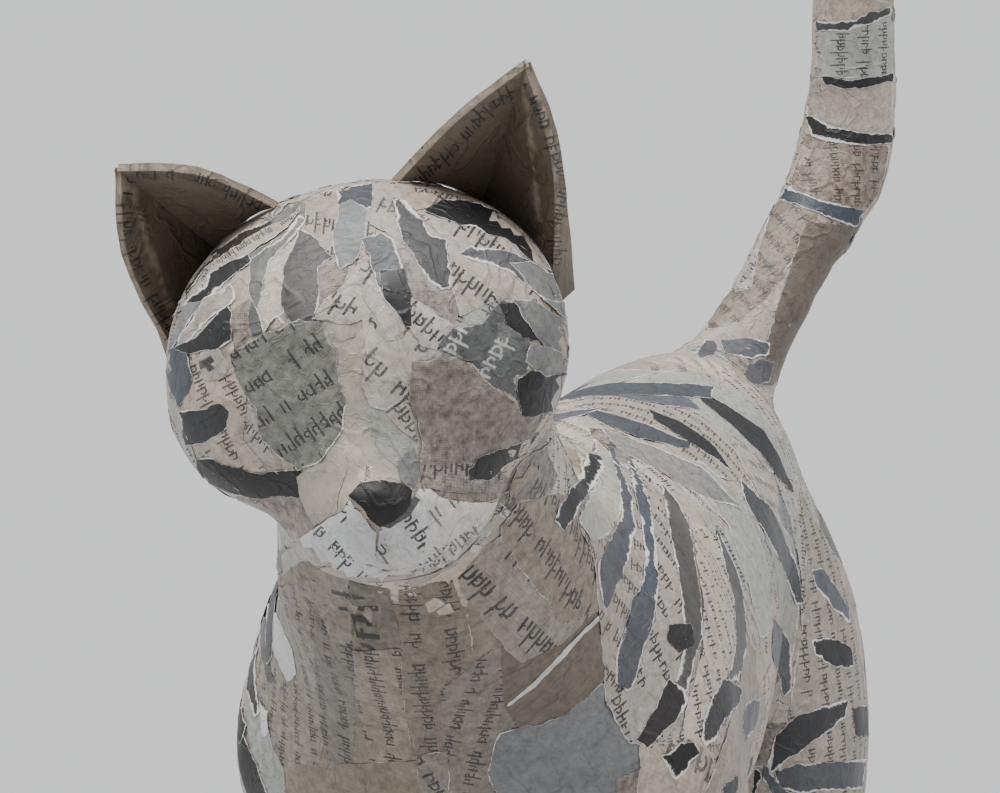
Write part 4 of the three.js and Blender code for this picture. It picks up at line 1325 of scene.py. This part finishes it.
def fibre_nodes():
    """Geometry nodes that scatter short loose fibres over whatever is torn."""
    tree = bpy.data.node_groups.new("Loose fibres", "GeometryNodeTree")
    for label, kind, value in (
        ("Geometry", "NodeSocketGeometry", None),
        ("Density", "NodeSocketFloat", 900000.0),
        ("Length", "NodeSocketFloat", 0.0006),
        ("Width", "NodeSocketFloat", 0.00003),
        ("Seed", "NodeSocketInt", 3),
        ("Material", "NodeSocketMaterial", None),
    ):
        socket = tree.interface.new_socket(label, in_out="INPUT", socket_type=kind)
        if value is not None:
            socket.default_value = value
    tree.interface.new_socket("Geometry", in_out="OUTPUT", socket_type="NodeSocketGeometry")
    w = Wires(tree)
    given = w.node("NodeGroupInput").outputs
    torn = w.node("GeometryNodeInputNamedAttribute", data_type="FLOAT")
    torn.inputs["Name"].default_value = "torn"
    scatter = w.node("GeometryNodeDistributePointsOnFaces")
    w.join(scatter.inputs["Mesh"], given["Geometry"])
    density = w.times(given["Density"], torn.outputs["Attribute"])
    w.join(scatter.inputs["Density"], density)
    w.join(scatter.inputs["Seed"], given["Seed"])
    strand = w.node("GeometryNodeMeshCone")
    strand.inputs["Vertices"].default_value = 3
    w.join(strand.inputs["Radius Bottom"], given["Width"])
    w.join(strand.inputs["Depth"], given["Length"])
    turn = w.node("FunctionNodeRandomValue", data_type="FLOAT_VECTOR")
    turn.inputs["Min"].default_value = (1.25, 0.0, 0.0)
    turn.inputs["Max"].default_value = (1.55, 0.0, 6.28)
    w.join(turn.inputs["Seed"], given["Seed"])
    euler = w.node("FunctionNodeEulerToRotation")
    w.join(euler.inputs[0], turn.outputs[0])
    rotate = w.node("FunctionNodeRotateRotation", rotation_space="LOCAL")
    w.join(rotate.inputs[0], scatter.outputs["Rotation"])
    w.join(rotate.inputs[1], euler.outputs[0])
    size = w.node("FunctionNodeRandomValue", data_type="FLOAT")
    size.inputs[2].default_value, size.inputs[3].default_value = 0.5, 1.3
    w.join(size.inputs["Seed"], given["Seed"])
    place = w.node("GeometryNodeInstanceOnPoints")
    w.join(place.inputs["Points"], scatter.outputs["Points"])
    w.join(place.inputs["Instance"], strand.outputs["Mesh"])
    w.join(place.inputs["Rotation"], rotate.outputs[0])
    w.join(place.inputs["Scale"], size.outputs[1])
    real = w.node("GeometryNodeRealizeInstances")
    w.join(real.inputs[0], place.outputs[0])
    finish = w.node("GeometryNodeSetMaterial")
    w.join(finish.inputs["Geometry"], real.outputs[0])
    w.join(finish.inputs["Material"], given["Material"])
    w.join(w.node("NodeGroupOutput").inputs["Geometry"], finish.outputs[0])
    return tree


def make_fibres(settings):
    """Short loose fibres along the torn edges that show."""
    tree = fibre_nodes()
    white = bpy.data.materials.new("Loose fibre")
    white.use_nodes = True
    shader = white.node_tree.nodes["Principled BSDF"]
    shader.inputs["Base Color"].default_value = FIBRE_WHITE
    shader.inputs["Roughness"].default_value = 0.8
    for seed, kind in enumerate(("face_scraps", "flank_scraps", "chest_scraps", "tail_scraps")):
        obj = bpy.data.objects.new(kind.replace("scraps", "fibres"), shared[kind].data.copy())
        bpy.context.scene.collection.objects.link(obj)
        modifier = obj.modifiers.new("Loose fibres", "NODES")
        modifier.node_group = tree
        values = {
            "Density": settings.fibres * PER_SQUARE_CM,
            "Length": settings.fibre_length,
            "Seed": seed,
            "Material": white,
        }
        for item in tree.interface.items_tree:
            if item.item_type == "SOCKET" and item.in_out == "INPUT" and item.name in values:
                modifier[item.identifier] = values[item.name]
        graph = bpy.context.evaluated_depsgraph_get()
        result = bpy.data.meshes.new_from_object(obj.evaluated_get(graph))
        obj.modifiers.clear()
        obj.data = result
        result.name = obj.name
        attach(obj, "root")


def make_ear(node, settings):
    """A folded sheet over one ear's solid, with cut edges, a tone that pales towards its free edge,
    painted shade at its foot and rows of print.
    """
    mesh = bmesh.new()
    mesh.from_mesh(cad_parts[node].data)
    bmesh.ops.remove_doubles(mesh, verts=mesh.verts, dist=1e-6)
    for _ in range(4):
        long_edges = [edge for edge in mesh.edges if edge.calc_length() > settings.ear_step]
        if not long_edges:
            break
        bmesh.ops.subdivide_edges(mesh, edges=long_edges, cuts=1, use_grid_fill=False)
        bmesh.ops.triangulate(mesh, faces=[face for face in mesh.faces if len(face.verts) > 4])
    data = bpy.data.meshes.new(node + "_sheet")
    mesh.to_mesh(data)
    mesh.free()
    count = len(data.vertices)
    tree = BVHTree.FromPolygons(
        [vertex.co for vertex in data.vertices], [tuple(face.vertices) for face in data.polygons]
    )
    low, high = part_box(node)
    middle = (low + high) / 2
    colours, torn, ink, sheet, moved = [], [], [], [], []
    page, rim = Vector(on_screen(TONES["page"][0])), Vector(on_screen(TONES["rim"][0]))
    line = np.array(points_of(EAR_EDGES[node]))
    starts, runs = line[:-1], line[1:] - line[:-1]
    lengths = np.hypot(*runs.T)
    for vertex in data.vertices:
        normal = vertex.normal
        inner = tree.ray_cast(vertex.co - normal * 0.0001, -normal)
        thin = inner[0] is not None and SHEET[0] < inner[3] < SHEET[1]
        edge = 0.0 if thin else 1.0
        spot = np.array([float(value[0]) for value in picture_of(np.array([vertex.co]))])
        share = np.clip(((spot - starts) * runs).sum(1) / lengths**2, 0, 1)
        gaps = np.hypot(*(spot - starts - runs * share[:, None]).T)
        nearest = int(np.argmin(gaps))
        from_edge = float(gaps[nearest]) / PIXELS_PER_MM
        along = float(share[nearest] * lengths[nearest]) / PIXELS_PER_MM
        foot = min(1.0, max(0.0, (vertex.co.z - low.z) / EAR_FOOT))
        shade = page.lerp(rim, max(edge, 0.35 * max(0.0, 1 - from_edge / EAR_RIM)))
        # Painted shade: the sheet darkens towards its foot, where it meets the head.
        shade *= (1 + 0.16 * noise.noise(vertex.co * 140)) * (0.6 + 0.4 * foot)
        colours.append((*shade, 1.0))
        torn.append(0.10 * edge)
        ink.append(1.0 if from_edge < EAR_PRINT else 0.0)
        sheet.append((along / 1.1, from_edge / 1.1, nearest * 7 + middle.x * 1000))
        moved.append(vertex.co + normal * (EAR_RELIEF * noise.noise(vertex.co * 160)) * foot)
    for vertex, spot in zip(data.vertices, moved):
        vertex.co = spot
    dress(data, colours, torn, ink, [0.1] * count, sheet)
    data.materials.append(material("Book page", 0.56))
    data.polygons.foreach_set("use_smooth", [False] * len(data.polygons))
    obj = keep(bpy.data.objects.new(node + "_sheet", data))
    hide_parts(node)


def make_stage(settings):
    """A pale floor, soft studio light and the camera."""
    scene = bpy.context.scene
    mesh = bpy.data.meshes.new("floor")
    far = FLOOR_HALF
    corners = [(-far, -far, 0), (far, -far, 0), (far, far, 0), (-far, far, 0)]
    mesh.from_pydata(corners, [], [(0, 1, 2, 3)])
    plain = bpy.data.materials.new("Studio floor")
    plain.use_nodes = True
    shader = plain.node_tree.nodes["Principled BSDF"]
    shader.inputs["Base Color"].default_value = FLOOR_TONE
    shader.inputs["Roughness"].default_value = 0.9
    mesh.materials.append(plain)
    floor = bpy.data.objects.new("floor", mesh)
    scene.collection.objects.link(floor)
    world = bpy.data.worlds.new("Studio air")
    world.use_nodes = True
    air = world.node_tree.nodes["Background"].inputs
    air["Color"].default_value = AIR_TONE
    air["Strength"].default_value = settings.air
    scene.world = world
    for name, place, spread, power, warmth in LAMPS:
        data = bpy.data.lights.new(name, "SUN")
        data.angle = math.radians(spread)
        data.energy = power * settings.light
        data.color = warmth
        lamp = bpy.data.objects.new(name, data)
        lamp.location = place
        lamp.rotation_euler = (LIT - Vector(place)).to_track_quat("-Z", "Y").to_euler()
        scene.collection.objects.link(lamp)
    data = bpy.data.cameras.new("camera")
    data.sensor_width = 36
    data.lens = FOCAL * 36 / PICTURE[0]
    camera = bpy.data.objects.new("camera", data)
    turned = Matrix((RIGHT, UP, -AHEAD)).transposed().to_4x4()
    camera.matrix_world = Matrix.Translation(EYE) @ turned
    scene.collection.objects.link(camera)
    scene.camera = camera


class PaperCatSettings(bpy.types.PropertyGroup):
    """Sizes and strengths that a user may change"""

    thickness: FloatProperty(
        name="Scrap thickness",
        description="How far each scrap stands over the one below",
        default=0.00007,
        unit="LENGTH",
        precision=5,
    )
    step: FloatProperty(
        name="Scrap grain",
        description="Spacing of points inside a scrap",
        default=0.0022,
        unit="LENGTH",
        precision=4,
    )
    edge_step: FloatProperty(
        name="Edge grain",
        description="Spacing of points along a torn edge",
        default=0.00055,
        unit="LENGTH",
        precision=5,
    )
    spacing: FloatProperty(
        name="Scrap spacing",
        description="Least distance between the middles of the ground scraps",
        default=0.0125,
        unit="LENGTH",
        precision=4,
    )
    relief: FloatProperty(
        name="Face relief",
        description="Strength of the fine features of the face",
        default=1.0,
    )
    ear_step: FloatProperty(
        name="Ear grain",
        description="Longest edge in the ear sheets",
        default=0.0022,
        unit="LENGTH",
        precision=4,
    )
    fibres: FloatProperty(
        name="Fibres",
        description="Loose fibres on a square centimetre of torn edge",
        default=120.0,
    )
    fibre_length: FloatProperty(
        name="Fibre length",
        description="Length of a loose fibre",
        default=0.0006,
        unit="LENGTH",
        precision=5,
    )
    seed: IntProperty(
        name="Seed",
        description="Start of the random tearing",
        default=11,
    )
    air: FloatProperty(
        name="Air",
        description="Strength of the even studio light",
        default=0.30,
    )
    light: FloatProperty(
        name="Lamps",
        description="Strength of the soft lamps",
        default=1.0,
    )


class CAT_OT_skin(bpy.types.Operator):
    """Makes the smooth skin that the scraps lie on"""

    bl_idname = "paper_cat.skin"
    bl_label = "Skin"

    def execute(self, context):
        make_skin(context.scene.paper_cat)
        return {"FINISHED"}


class CAT_OT_ground(bpy.types.Operator):
    """Pastes the ground scraps over the whole skin"""

    bl_idname = "paper_cat.ground"
    bl_label = "Ground scraps"

    def execute(self, context):
        paste_ground_scraps(context.scene.paper_cat)
        return {"FINISHED"}


class CAT_OT_coat(bpy.types.Operator):
    """Pastes the chest, flanks and their stripes"""

    bl_idname = "paper_cat.coat"
    bl_label = "Coat"

    def execute(self, context):
        paste_coat()
        return {"FINISHED"}


class CAT_OT_tail(bpy.types.Operator):
    """Pastes the tail and its rings"""

    bl_idname = "paper_cat.tail"
    bl_label = "Tail"

    def execute(self, context):
        paste_tail()
        return {"FINISHED"}


class CAT_OT_face(bpy.types.Operator):
    """Pastes the face, nose and muzzle, and closes the stacks of scraps"""

    bl_idname = "paper_cat.face"
    bl_label = "Face"

    def execute(self, context):
        paste_face()
        close_stacks()
        return {"FINISHED"}


class CAT_OT_fibres(bpy.types.Operator):
    """Scatters loose fibres along the torn edges"""

    bl_idname = "paper_cat.fibres"
    bl_label = "Loose fibres"

    def execute(self, context):
        make_fibres(context.scene.paper_cat)
        return {"FINISHED"}


class CAT_OT_ears(bpy.types.Operator):
    """Folds the two ear sheets"""

    bl_idname = "paper_cat.ears"
    bl_label = "Ears"

    def execute(self, context):
        for node in ("left_ear", "right_ear"):
            make_ear(node, context.scene.paper_cat)
        return {"FINISHED"}


class CAT_OT_stage(bpy.types.Operator):
    """Sets the floor, lamps and camera"""

    bl_idname = "paper_cat.stage"
    bl_label = "Stage"

    def execute(self, context):
        make_stage(context.scene.paper_cat)
        return {"FINISHED"}


OPERATORS = (
    CAT_OT_skin,
    CAT_OT_ground,
    CAT_OT_coat,
    CAT_OT_tail,
    CAT_OT_face,
    CAT_OT_fibres,
    CAT_OT_ears,
    CAT_OT_stage,
)


class CAT_PT_panel(bpy.types.Panel):
    """The cat's pieces and settings"""

    bl_idname = "CAT_PT_panel"
    bl_label = "Paper cat"
    bl_space_type = "VIEW_3D"
    bl_region_type = "UI"
    bl_category = "Paper cat"

    def draw(self, context):
        for name in PaperCatSettings.__annotations__:
            self.layout.prop(context.scene.paper_cat, name)
        for operator in OPERATORS:
            self.layout.operator(operator.bl_idname)


CLASSES = (PaperCatSettings, *OPERATORS, CAT_PT_panel)


def register():
    for item in CLASSES:
        bpy.utils.register_class(item)
    bpy.types.Scene.paper_cat = PointerProperty(type=PaperCatSettings)


def unregister():
    del bpy.types.Scene.paper_cat
    for item in reversed(CLASSES):
        bpy.utils.unregister_class(item)


def main():
    register()
    bpy.ops.paper_cat.skin()
    bpy.ops.paper_cat.ground()
    bpy.ops.paper_cat.coat()
    bpy.ops.paper_cat.tail()
    bpy.ops.paper_cat.face()
    bpy.ops.paper_cat.fibres()
    bpy.ops.paper_cat.ears()
    bpy.ops.paper_cat.stage()
    bpy.context.view_layer.update()


if __name__ == "__main__":
    main()
